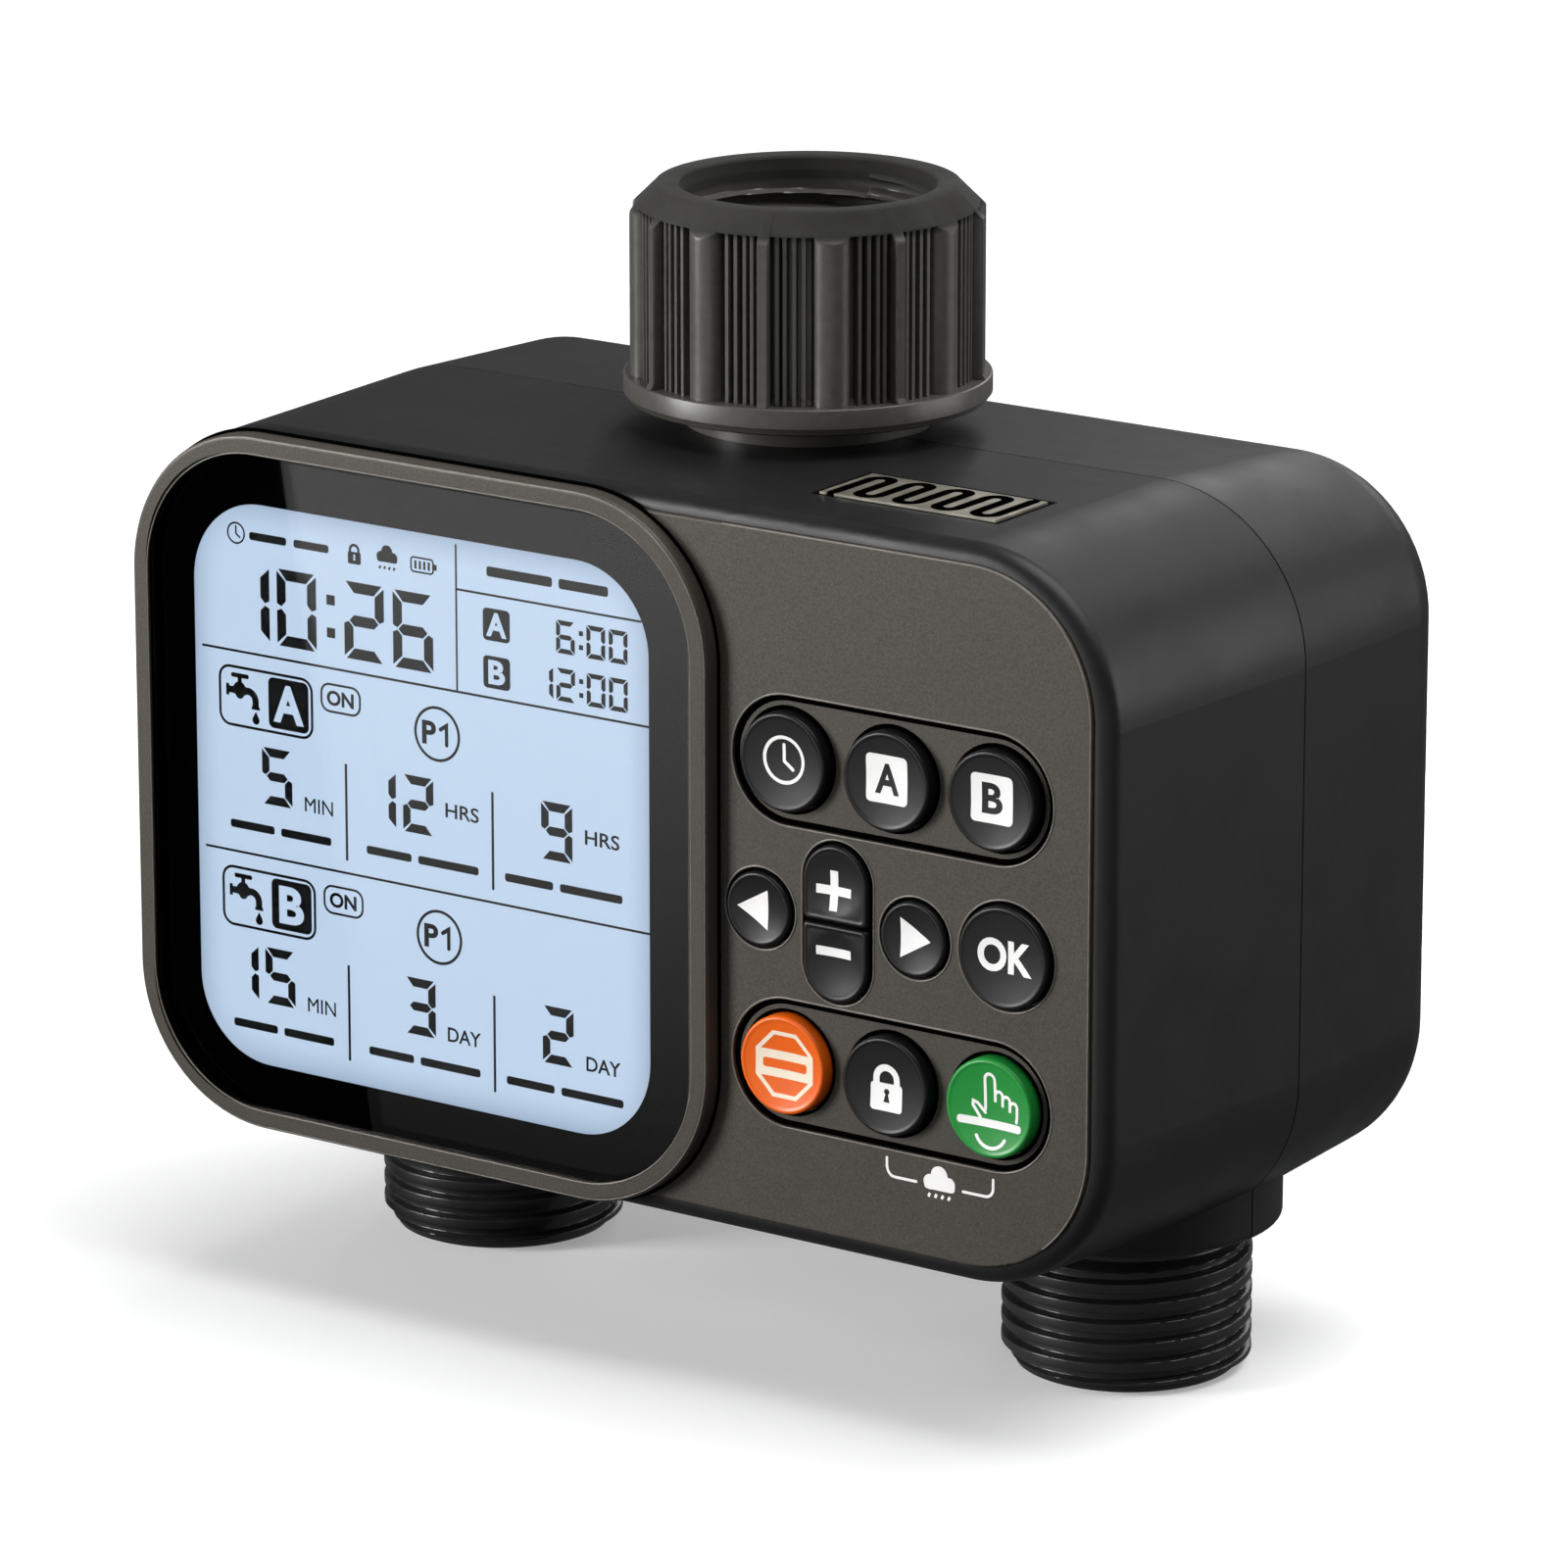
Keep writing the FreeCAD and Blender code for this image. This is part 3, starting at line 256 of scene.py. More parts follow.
def battery_film():
    """Printed film in two plain bands along the cell."""
    made = Surface("battery_wrap", (0.05, 0.12, 0.3), 0.32, 0.5)
    low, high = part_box("battery_1")
    ramp = made.node("ShaderNodeValToRGB")
    ramp.color_ramp.interpolation = "CONSTANT"
    while len(ramp.color_ramp.elements) < len(BATTERY_BANDS):
        ramp.color_ramp.elements.new(0.5)
    for element, (position, colour) in zip(ramp.color_ramp.elements, BATTERY_BANDS):
        element.position = position
        element.color = colour
    made.link(made.mapped(made.axis("Z"), low.z, high.z), ramp.inputs["Fac"])
    made.feed(ramp.outputs["Color"], "Base Color")
    return made.wear(4.0, 0.06).grain(0.3, 0.003).material


def winding():
    """Enamelled wire in close turns, as fine rings along the coil."""
    made = Surface("copper", (0.42, 0.16, 0.06), 0.35, 0.5, 0.8)
    wave = made.node("ShaderNodeTexWave", wave_type="BANDS", bands_direction="Z")
    wave.inputs["Scale"].default_value = 1.0 / (0.6 * MM)
    made.link(made.place, wave.inputs["Vector"])
    bump = made.node("ShaderNodeBump")
    bump.inputs["Distance"].default_value = 0.1 * MM
    made.link(wave.outputs["Fac"], bump.inputs["Height"])
    made.feed(bump.outputs["Normal"], "Normal")
    return made.mottle(1.5, 0.15).material


# Plain plastics: colour, roughness, specular level, then grain size, grain depth and mottling.
PLASTICS = {
    "housing": ((0.0085, 0.0085, 0.009), 0.42, 0.32, 0.22, 0.010),
    "light_guide": ((0.8, 0.84, 0.88), 0.5, 0.5),
    "key_black": ((0.006, 0.006, 0.0062), 0.4, 0.3, 0.2, 0.004),
    "key_orange": ((0.84, 0.125, 0.002), 0.36, 0.4, 0.2, 0.004, 0.03),
    "key_green": ((0.012, 0.27, 0.04), 0.36, 0.4, 0.2, 0.004, 0.05),
    "board": ((0.01, 0.12, 0.05), 0.35, 0.5, 0.5, 0.01),
    "sensor_base": ((0.002, 0.002, 0.002), 0.95, 0.02),
    "outlet_plastic": ((0.015, 0.015, 0.0153), 0.3, 0.55, 0.3, 0.004),
    "valve_plastic": ((0.2, 0.2, 0.2), 0.4, 0.5),
    "filter_plastic": ((0.55, 0.55, 0.53), 0.45, 0.5),
    "seal_rubber": ((0.012, 0.012, 0.012), 0.7, 0.3, 0.5, 0.02),
    "print_white": ((0.97, 0.96, 0.94), 0.5, 0.5, 0.3, 0.004, 0.02),
    "print_dark": ((0.002, 0.0028, 0.004), 0.6, 0.1, 0.3, 0.002, 0.1),
    "print_cream": ((0.93, 0.80, 0.63), 0.5, 0.3, 0.3, 0.006, 0.03),
    # Painted highlight: this light colour on the rim beads of the face plate, bezel and key wells stands for
    # the light these edges catch.
    "worn_edge": ((0.15, 0.138, 0.118), 0.35, 0.5, 0.4, 0.01, 0.2),
    # Black ink for the display's printed border and the sensor's gap, and also painted shade in the gaps
    # round the bezel, lens, trays and keys.
    "mask_ink": ((0.0007, 0.0007, 0.0007), 0.7, 0.0, 0.6, 0.001),
}
MATERIALS = {name: plastic(name, *look) for name, look in PLASTICS.items()}
MATERIALS.update({
    "face_panel": painted_panel(),
    "display_glass": lens_glass(),
    "lcd": lit_display(),
    "switch_metal": metal("switch_metal", (0.55, 0.55, 0.55), 0.35),
    "sensor_metal": metal("sensor_metal", (0.5, 0.47, 0.39), 0.34, (0.2, 1.0, 1.0), 0.8),
    "nut_plastic": nut_moulding(),
    "copper": winding(),
    "steel": metal("steel", (0.5, 0.5, 0.51), 0.32),
    "battery_wrap": battery_film(),
})


def paint(mesh, material):
    mesh.materials.clear()
    mesh.materials.append(MATERIALS[material])


def dress_cad_nodes():
    """Each CAD node takes the material of its slot in the record."""
    for part in frame["record"]["subparts"]:
        paint(frame["nodes"][part["node"]].data, part["material_slot"])


# ---- mesh helpers ----
def piece(name, mesh, material, body, stands_for=()):
    """A finished mesh as an object of that material that rides on a CAD body."""
    paint(mesh, material)
    obj = linked(name, mesh)
    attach(obj, body)
    if stands_for:
        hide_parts(*stands_for)


def shaded(bm, name, sharp_degrees):
    """A bmesh as a smooth-shaded mesh, with sharp edges where it turns by more than the angle."""
    mesh = bpy.data.meshes.new(name)
    bm.to_mesh(mesh)
    bm.free()
    mesh.shade_smooth()
    mesh.set_sharp_from_angle(angle=math.radians(sharp_degrees))
    return mesh


def finished(bm, name, sharp_degrees):
    """A bmesh tidied and shaded: doubles merged and faces turned outwards."""
    bmesh.ops.remove_doubles(bm, verts=bm.verts, dist=0.0005 * MM)
    bmesh.ops.dissolve_degenerate(bm, edges=bm.edges, dist=0.0002 * MM)
    bmesh.ops.recalc_face_normals(bm, faces=bm.faces)
    return shaded(bm, name, sharp_degrees)


# ---- flat art: islands of closed (x, z) loops, the first the outline and the rest its holes ----
def arc(cx, cz, radius, start, end, steps=8):
    """Points along an arc, angles in degrees from +x towards +z."""
    points = []
    for i in range(steps + 1):
        a = math.radians(start + (end - start) * i / steps)
        points.append((cx + radius * math.cos(a), cz + radius * math.sin(a)))
    return points


def circle(cx, cz, radius, steps=40):
    return arc(cx, cz, radius, 0, 360, steps)[:-1]


def rounded(x0, x1, z0, z1, radius, steps=6):
    r = radius
    points = arc(x1 - r, z1 - r, r, 0, 90, steps) + arc(x0 + r, z1 - r, r, 90, 180, steps)
    return points + arc(x0 + r, z0 + r, r, 180, 270, steps) + arc(x1 - r, z0 + r, r, 270, 360, steps)


def ring(cx, cz, radius, width):
    return [circle(cx, cz, radius), circle(cx, cz, radius - width)]


def frame_loop(x0, x1, z0, z1, radius, width):
    """A rounded rectangle's outline as a band."""
    inner = rounded(x0 + width, x1 - width, z0 + width, z1 - width, max(radius - width, 0.05))
    return [rounded(x0, x1, z0, z1, radius), inner]


def bar(x0, z0, x1, z1, width):
    """A straight stroke with square ends."""
    dx, dz = x1 - x0, z1 - z0
    length = math.hypot(dx, dz)
    nx, nz = -dz / length * width / 2, dx / length * width / 2
    return [[[(x0 + nx, z0 + nz), (x0 - nx, z0 - nz), (x1 - nx, z1 - nz), (x1 + nx, z1 + nz)]]]


def stroke(points, width):
    """A round-ended line through points with mitred corners, as one island."""
    line = [Vector(points[0])]
    for point in points[1:]:
        if (Vector(point) - line[-1]).length > 0.01:
            line.append(Vector(point))
    runs = [(b - a).normalized() for a, b in zip(line, line[1:])]
    left, right = [], []
    for at, before, after in zip(line, runs[:1] + runs, runs + runs[-1:]):
        normal = Vector((-(before + after).y, (before + after).x)).normalized()
        reach = width / 2 / max(0.35, normal.dot(Vector((-before.y, before.x))))
        left.append(tuple(at + normal * reach))
        right.append(tuple(at - normal * reach))
    first = math.degrees(math.atan2(runs[0].y, runs[0].x))
    last = math.degrees(math.atan2(runs[-1].y, runs[-1].x))
    head = arc(*line[-1], width / 2, last + 90, last - 90, 6)[1:-1]
    tail = arc(*line[0], width / 2, first - 90, first - 270, 6)[1:-1]
    return [[left + head + right[::-1] + tail]]


def moved(islands, dx, dz):
    return [[[(x + dx, z + dz) for x, z in loop] for loop in island] for island in islands]


def shape_of(face):
    """The faces that a face is joined to, itself among them, always in the same order."""
    found, waiting = {face: None}, [face]
    while waiting:
        for edge in waiting.pop().edges:
            for other in edge.link_faces:
                if other not in found:
                    found[other] = None
                    waiting.append(other)
    return found


def outlines(faces):
    """The loops of points round a flat shape, the outer one and those of its holes."""
    rim = {edge: None for face in faces for edge in face.edges if len(edge.link_faces) == 1}
    loops = []
    while rim:
        edge = rim.popitem()[0]
        at = edge.verts[1]
        loop = [edge.verts[0].co.copy()]
        while edge:
            loop.append(at.co.copy())
            edge = next((other for other in at.link_edges if other in rim), None)
            if edge:
                del rim[edge]
                at = edge.other_vert(at)
        loops.append(loop[:-1])
    return loops


def word(text, x0, x1, z0, z1, weight):
    """Lettering that fills the box, as islands from the built-in font's outlines."""
    curve = bpy.data.curves.new("word", "FONT")
    curve.body = text
    curve.offset = weight
    curve.resolution_u = 5
    holder = linked("word", curve)
    flat = bpy.data.meshes.new_from_object(holder.evaluated_get(bpy.context.evaluated_depsgraph_get()))
    bpy.data.objects.remove(holder)
    bm = bmesh.new()
    bm.from_mesh(flat)
    bpy.data.meshes.remove(flat)
    bmesh.ops.remove_doubles(bm, verts=bm.verts, dist=0.0005)
    xs = [v.co.x for v in bm.verts]
    ys = [v.co.y for v in bm.verts]
    kx = (x1 - x0) / (max(xs) - min(xs))
    kz = (z1 - z0) / (max(ys) - min(ys))
    islands = []
    left = dict.fromkeys(bm.faces)
    while left:
        shape = shape_of(next(iter(left)))
        for face in shape:
            del left[face]
        islands.append([[(x0 + (c.x - min(xs)) * kx, z0 + (c.y - min(ys)) * kz) for c in loop]
                        for loop in outlines(shape)])
    bm.free()
    return islands


def flat_island(loops, step):
    """An island as a filled flat bmesh in x and z, cut every step so that it can follow a curved face."""
    flat = bmesh.new()
    points = [p for loop in loops for p in loop]
    corners = [flat.verts.new((x, 0, z)) for x, z in points]
    for a, b, c in tessellate_polygon([[Vector((x, z, 0)) for x, z in loop] for loop in loops]):
        flat.faces.new((corners[a], corners[b], corners[c]))
    if step:
        for axis, normal in ((0, (1, 0, 0)), (1, (0, 0, 1))):
            low = min(p[axis] for p in points)
            high = max(p[axis] for p in points)
            for i in range(1, int((high - low) / step) + 1):
                place = tuple(c * (low + i * step) for c in normal)
                geometry = list(flat.verts) + list(flat.edges) + list(flat.faces)
                bmesh.ops.bisect_plane(flat, geom=geometry, plane_co=place, plane_no=normal)
    return flat


# Islands of one print that overlap are this far apart in depth, in eight steps.
STACK = 0.0015
STACK_STEPS = 8


def print_mesh(name, islands, front, back, step=None, place=spot):
    """Islands as thin closed solids: front(x, z) and back(x, z) give the depth of each side."""
    bm = bmesh.new()
    for k, loops in enumerate(islands):
        flat = flat_island(loops, step)
        lift = STACK * (k % STACK_STEPS)
        near, far = {}, {}
        for v in flat.verts:
            x, z = v.co.x, v.co.z
            near[v] = bm.verts.new(place(x, front(x, z) - lift, z))
            far[v] = bm.verts.new(place(x, back(x, z), z))
        for face in flat.faces:
            bm.faces.new([near[v] for v in face.verts])
            bm.faces.new([far[v] for v in reversed(face.verts)])
        for edge in flat.edges:
            if len(edge.link_faces) == 1:
                a, b = edge.verts
                bm.faces.new((near[a], near[b], far[b], far[a]))
        flat.free()
    bmesh.ops.recalc_face_normals(bm, faces=bm.faces)
    return shaded(bm, name, 32)


def level(depth):
    return lambda x, z: depth


def printed(name, islands, front, back, material, body="case", **how):
    """Islands as a thin printed piece on a CAD body."""
    piece(name, print_mesh(name, islands, front, back, **how), material, body)


# ---- display ----
SEGMENTS = {"0": "abcdef", "1": "bc", "2": "abged", "3": "abgcd", "5": "afgcd", "6": "afgecd", "9": "abfgcd"}


def digit(char, x, z, w, h, t):
    """A seven-segment figure in the box from (x, z), w wide and h high, with strokes t wide."""
    g = 0.11 * t
    m = z + h / 2
    top, right = z + h, x + w
    cap = [(x + g * 2, top), (right - g * 2, top), (right - t - g, top - t), (x + t + g, top - t)]
    side = [(x, top - g * 2), (x, m + t / 3), (x + t / 2, m + g), (x + t, m + t / 2 + g)]
    side += [(x + t, top - t - g)]
    middle = [(x + t / 2 + g, m), (x + t + g, m + t / 2), (right - t - g, m + t / 2)]
    middle += [(right - t / 2 - g, m), (right - t - g, m - t / 2), (x + t + g, m - t / 2)]

    def below(points):
        return [(px, z + top - pz) for px, pz in points]
    far_side = [(x + right - px, pz) for px, pz in side]
    shapes = {"a": cap, "b": far_side, "c": below(far_side), "d": below(cap), "e": below(side), "f": side}
    shapes["g"] = middle
    return [[shapes[s]] for s in SEGMENTS[char]]


def clock_icon(x, z, r, width):
    hands = stroke([(x, z + 0.62 * r), (x, z - 0.05 * r), (x + 0.42 * r, z - 0.35 * r)], width)
    return [ring(x, z, r, width)] + hands


def cloud_icon(x, z, s):
    """A cloud of discs on a bar, s wide."""
    puffs = [[circle(x - 0.27 * s, z - 0.08 * s, 0.2 * s)], [circle(x, z + 0.12 * s, 0.25 * s)]]
    puffs += [[circle(x + 0.29 * s, z - 0.07 * s, 0.19 * s)]]
    return puffs + [[rounded(x - 0.45 * s, x + 0.47 * s, z - 0.27 * s, z - 0.02 * s, 0.1 * s)]]


def drops(x, z, s):
    """Four slanted drops in a row."""
    marks = []
    for place in (-1.5, -0.5, 0.5, 1.5):
        dx = place * 0.24 * s
        marks += bar(x + dx - 0.03 * s, z - 0.06 * s, x + dx + 0.03 * s, z + 0.06 * s, 0.09 * s)
    return marks


def lock_icon(x, z, w, h, width):
    """A padlock w wide and h high around (x, z), with its keyhole left open."""
    body_top = z - h / 2 + 0.55 * h
    reach, foot = 0.42 * w, body_top - 0.1
    shackle = [(x + reach, foot)] + arc(x, body_top + 0.08 * h, reach, 0, 180, 14) + [(x - reach, foot)]
    shackle += [(x - reach + width, foot)] + arc(x, body_top + 0.08 * h, reach - width, 180, 0, 14)
    shackle += [(x + reach - width, foot)]
    hole = arc(x, z - 0.12 * h, 0.085 * w, -60, 240, 14)
    hole += [(x - 0.1 * w, z - 0.33 * h), (x + 0.1 * w, z - 0.33 * h)]
    body = rounded(x - w / 2, x + w / 2, z - h / 2, body_top, 0.1 * w)
    return [[body, hole], [shackle]]


def battery_icon(x, z, w, h):
    bars = [frame_loop(x - w / 2, x + w / 2, z - h / 2, z + h / 2, 0.25 * h, 0.11 * h)]
    bars += [[rounded(x + w / 2, x + w / 2 + 0.12 * w, z - 0.18 * h, z + 0.18 * h, 0.03)]]
    for i in range(4):
        at = x - w / 2 + (0.22 + 0.19 * i) * w
        bars += [[rounded(at - 0.045 * w, at + 0.045 * w, z - 0.26 * h, z + 0.26 * h, 0.02)]]
    return bars


def tap_icon(x, z):
    """A garden tap with a drop, its body's middle at (x, z)."""
    body = [(x - 0.85, z + 0.3), (x - 0.45, z + 0.75), (x + 0.45, z + 0.75), (x + 0.85, z + 0.3)]
    body += [(x + 0.85, z - 0.6), (x - 0.85, z - 0.6)]
    spout = [(x + 0.5, z + 0.32)] + arc(x + 1.15, z - 1.1, 1.42, 90, 0, 10)
    spout += [(x + 2.57, z - 1.75), (x + 1.72, z - 1.75)] + arc(x + 1.1, z - 1.1, 0.62, 0, 90)
    return [
        [rounded(x - 1.15, x + 1.25, z + 1.25, z + 1.75, 0.2)],
        [rounded(x - 0.25, x + 0.28, z + 0.4, z + 1.4, 0.05)],
        [body],
        [circle(x, z - 0.45, 0.62, 24)],
        [rounded(x - 1.85, x - 1.45, z - 0.85, z + 0.45, 0.06)],
        [rounded(x - 1.6, x - 0.5, z - 0.55, z + 0.2, 0.03)],
        [spout + [(x + 0.5, z - 0.48)]],
        [rounded(x + 1.6, x + 2.7, z - 2.0, z - 1.65, 0.06)],
        [arc(x + 2.15, z - 3.15, 0.48, 150, 390, 14) + [(x + 2.15, z - 2.2)]],
    ]


def letter_tile(letter, x0, x1, z0, z1, radius):
    """A solid tile with a light letter, as two groups: the tile and the letter."""
    w, h = x1 - x0, z1 - z0
    side = 0.12 * w if letter == "A" else 0.19 * w
    text = word(letter, x0 + side, x1 - side, z0 + 0.13 * h, z1 - 0.12 * h, 0.035)
    return [[rounded(x0, x1, z0, z1, radius)]], text


def caption(spans, z0, z1):
    """A word's place on the display, kept as a plain bar for each word."""
    low = z0 + 0.24 * (z1 - z0)
    high = z1 - 0.24 * (z1 - z0)
    return [[rounded(x0, x1, low, high, 0.3)] for x0, x1 in spans]


VALUE_Z = -2.33
VALUE_H = 6.3
UNIT_H = 1.6
UNIT_WEIGHT = 0.012
ROW_STEP = -22.42
DIVIDERS = (-34.67, -15.17)


def station_row(letter, values, units, shift):
    """One outlet's row: tap and letter, state, programme mark, three values with units and captions."""
    dark = [frame_loop(-51.8, -39.0, 5.67, 12.46, 1.5, 0.3)]
    dark += tap_icon(-48.95, 9.9)
    tile, light = letter_tile(letter, -45.04, -39.62, 6.3, 11.9, 0.7)
    dark += tile
    dark += [frame_loop(-37.96, -32.54, 9.2, 12.46, 1.2, 0.25)] + word("ON", -37.1, -33.5, 10.0, 11.67, 0.03)
    dark += [ring(-22.4, 9.04, 3.04, 0.32)] + word("P", -24.4, -22.55, 7.75, 10.35, 0.03)
    dark += stroke([(-21.95, 9.6), (-21.15, 10.12), (-21.15, 7.98)], 0.44)
    for x, text in zip((-42.0, -23.0, -4.75), values):
        for i, char in enumerate(reversed(text)):
            dark += digit(char, x - 4.05 - i * 5.0, VALUE_Z, 4.05, VALUE_H, 0.98)
    unit_boxes = ((-40.3, -36.5), (-21.4, -17.0), (-3.1, 1.35))
    for (x0, x1), (text, lift) in zip(unit_boxes, units):
        # Thicker strokes would close the narrow M and N of this word.
        weight = 0.0 if text == "MIN" else UNIT_WEIGHT
        dark += word(text, x0, x1, VALUE_Z + lift, VALUE_Z + lift + UNIT_H, weight)
    for x in DIVIDERS:
        dark += [[rounded(x - 0.15, x + 0.15, -6.9, 3.83, 0.05)]]
    words = [(-50.5, -44.5), (-43.6, -36.8), (-32.0, -26.0), (-25.1, -17.1), (-13.6, -7.3), (-6.4, 1.7)]
    dark += caption(words, -6.08, -4.33)
    return moved(dark, 0, shift), moved(light, 0, shift)


START_FIGURE = (2.4, 3.55, 0.52)


def display_art():
    """Everything the liquid crystal shows, as dark islands and the light letters on their tiles."""
    dark = clock_icon(-49.1, 27.15, 1.22, 0.2)
    dark += caption([(-47.3, -42.3), (-41.3, -36.6)], 26.25, 27.95)
    dark += lock_icon(-33.15, 27.2, 1.7, 2.4, 0.3)
    dark += cloud_icon(-28.8, 27.6, 2.9) + drops(-28.8, 26.2, 2.6)
    dark += battery_icon(-24.15, 27.15, 3.1, 1.75)
    for char, x in (("1", -50.0), ("0", -43.67), ("2", -34.6), ("6", -28.1)):
        dark += digit(char, x, 15.58, 5.3, 8.46, 1.2)
    for z in (21.6, 18.0):
        dark += [[rounded(-36.96, -35.86, z - 0.55, z + 0.55, 0.04)]]
    dark += [[rounded(-19.8, -19.57, 14.1, 30.1, 0.02)], [rounded(-19.7, 4.3, 25.13, 25.37, 0.02)]]
    dark += caption([(-15.67, -7.17), (-6.3, 0.05)], 26.75, 28.83)
    light = []
    for letter, z0 in (("A", 20.33), ("B", 15.17)):
        tile, letters = letter_tile(letter, -16.2, -12.7, z0, z0 + 3.5, 0.5)
        dark += tile
        light += letters
        for x in (-2.75, 0.12):
            dark += digit("0", x, z0, *START_FIGURE)
        for z in (z0 + 1.0, z0 + 2.5):
            dark += [[rounded(-3.72, -3.2, z - 0.26, z + 0.26, 0.03)]]
    for char, x, z0 in (("6", -6.67, 20.33), ("2", -6.67, 15.17), ("1", -9.5, 15.17)):
        dark += digit(char, x, z0, *START_FIGURE)
    for z in (14.1, -8.3):
        dark += [[rounded(-54.0, 5.2, z - 0.13, z + 0.13, 0.02)]]
    for letter, values, units, shift in (
        ("A", ("5", "12", "9"), (("MIN", 0.0), ("HRS", 2.4), ("HRS", 2.4)), 0.0),
        ("B", ("15", "3", "2"), (("MIN", 0.0), ("DAY", 0.0), ("DAY", 0.0)), ROW_STEP),
    ):
        row_dark, row_light = station_row(letter, values, units, shift)
        dark += row_dark
        light += row_light
    return dark, light


INK = 0.02
LIT_AREA = (-24.8, -0.55, 30.1, 31.25, 9.3)


def oval(low, high, inset, corner, steps=16):
    """The rounded outline of a box seen from the front, moved inwards."""
    return rounded(low.x + inset, high.x - inset, low.z + inset, high.z - inset, corner - inset, steps)


LENS_CORNER = 13.8
BEZEL_CORNER = 16.7
PLATE_CORNER = 14.8
RIM_STEPS = 24


def display():
    """The printed liquid crystal, the black border behind the lens, and, as painted shade, a black band at
    the lens's edge and a black bead in the gap round the bezel.
    """
    panel = body_box("lcd_panel")[0].y
    low, high = body_box("display_lens")
    dark, light = display_art()
    printed("lcd_segments", dark, level(panel - INK), level(panel + 0.01), "print_dark")
    printed("lcd_letters", light, level(panel - 2 * INK), level(panel - INK / 2), "lcd")
    cx, cz, half_w, half_h, radius = LIT_AREA
    window = rounded(cx - half_w, cx + half_w, cz - half_h, cz + half_h, radius, 16)
    border = [[oval(low, high, 0.1, LENS_CORNER), window]]
    printed("display_mask", border, level(high.y + 0.01), level(high.y + 0.1), "mask_ink")
    # Painted shade: a black band round the lens's edge stands for the shaded gap between the bezel and the
    # glass.
    band = [[oval(low, high, inset, LENS_CORNER) for inset in (-0.02, 0.28)]]
    printed("lens_surround", band, level(low.y + 0.04), level(high.y + 0.02), "mask_ink")
    # Painted shadow: a black bead round the bezel's foot stands for the shadow in the gap between bezel and
    # face plate.
    gap = oval(*body_box("screen_bezel"), -0.16, BEZEL_CORNER, RIM_STEPS)
    beads("bezel_gap", [(gap, 0.02, 0.2)], "mask_ink")


# ---- keys ----
KEY_CORNER = 0.4
WIDE_KEY = 11.0


def key_flange(low, high):
    """How far the flange of a key stands out beyond its cap, from the key's box."""
    return 0.7 if high.x - low.x > WIDE_KEY else 0.45


def key_outline(form, x, z, half_w, half_h, inset):
    """A key's outline moved inwards: a circle, or half a pill with its flat side on the split."""
    if form == "round":
        return circle(x, z, half_w - inset, 72)
    r = half_w - inset
    flip = 1 if form == "upper" else -1
    flat = z - flip * (half_h - inset)
    crown = z + flip * (half_h - half_w)
    side = flat + flip * KEY_CORNER
    corner_x = r - KEY_CORNER
    points = arc(x, crown, r, 0, 180 * flip, 48)
    points += [(x - r, crown + (side - crown) * i / 8) for i in range(1, 8)]
    points += arc(x - corner_x, side, KEY_CORNER, 180, 180 + 90 * flip, 5)
    points += [(x + corner_x * (i / 10 - 1), flat) for i in range(1, 20)]
    points += arc(x + corner_x, side, KEY_CORNER, 270 * flip, 360 * flip, 5)
    return points + [(x + r, side + (crown - side) * i / 8) for i in range(1, 8)]


DISH_DEPTH = 0.36
DISH_START = 0.08
DISH_SHARES = (0.96, 0.9, 0.8, 0.66, 0.5, 0.32, 0.14)
FLANGE_Y = (2.7, 3.5)
STEM_R = 2.0
KEY_RIM = [(0.0, 0.5), (0.02, 0.3), (0.1, 0.12), (0.22, 0.03), (0.34, 0.0), (0.46, 0.02), (0.58, 0.08)]


def key_depth(x, z, top, reach):
    """The depth of a key's dished face at any point."""
    def depth(px, pz):
        share = min(1.0, math.hypot(px - x, pz - z) / reach)
        return top + DISH_START + DISH_DEPTH * (1 - share * share)
    return depth


def bridge(bm, loops):
    """Quads between each loop of vertices and the next, with both ends closed."""
    for first, second in zip(loops, loops[1:]):
        for i in range(len(first)):
            j = (i + 1) % len(first)
            bm.faces.new((first[i], first[j], second[j], second[i]))
    bm.faces.new(loops[0][::-1])
    bm.faces.new(loops[-1])


def key_cap(node, form):
    """A moulded key: stem, flange, straight sides, a small rounded rim and a dished face."""
    low, high = body_box(node)
    top = low.y
    x = (low.x + high.x) / 2
    flange = key_flange(low, high)
    flip = {"round": 0, "upper": 1, "lower": -1}[form]
    half_w = (high.x - low.x) / 2 - flange
    half_h = half_w if form == "round" else (high.z - low.z - flange) / 2
    z = (low.z + high.z - flip * flange) / 2
    profile = [(-flange, FLANGE_Y[1]), (-flange, FLANGE_Y[0]), (0.0, FLANGE_Y[0])]
    profile += [(inset, top + y) for inset, y in KEY_RIM]
    bm = bmesh.new()
    loops = []
    for inset, y in profile:
        grown = key_outline(form, x, z, half_w, half_h, inset)
        loops.append([bm.verts.new(spot(px, y, pz)) for px, pz in grown])
    last = profile[-1][0]
    depth = key_depth(x, z, top, half_w - last)
    rim = key_outline(form, x, z, half_w, half_h, last)
    for share in DISH_SHARES:
        shrunk = [(x + (px - x) * share, z + (pz - z) * share) for px, pz in rim]
        loops.append([bm.verts.new(spot(px, depth(px, pz), pz)) for px, pz in shrunk])
    bridge(bm, loops)
    stem = circle(x, z, STEM_R, 32)
    stem_y = (high.y, FLANGE_Y[1] - 0.1)
    bridge(bm, [[bm.verts.new(spot(px, y, pz)) for px, pz in stem] for y in stem_y])
    return finished(bm, node + "_cap", 40), (x, z, depth)


def triangle(tip, base, half):
    """An arrowhead along x."""
    return [[[(tip, 0.0), (base, half), (base, -half)]]]


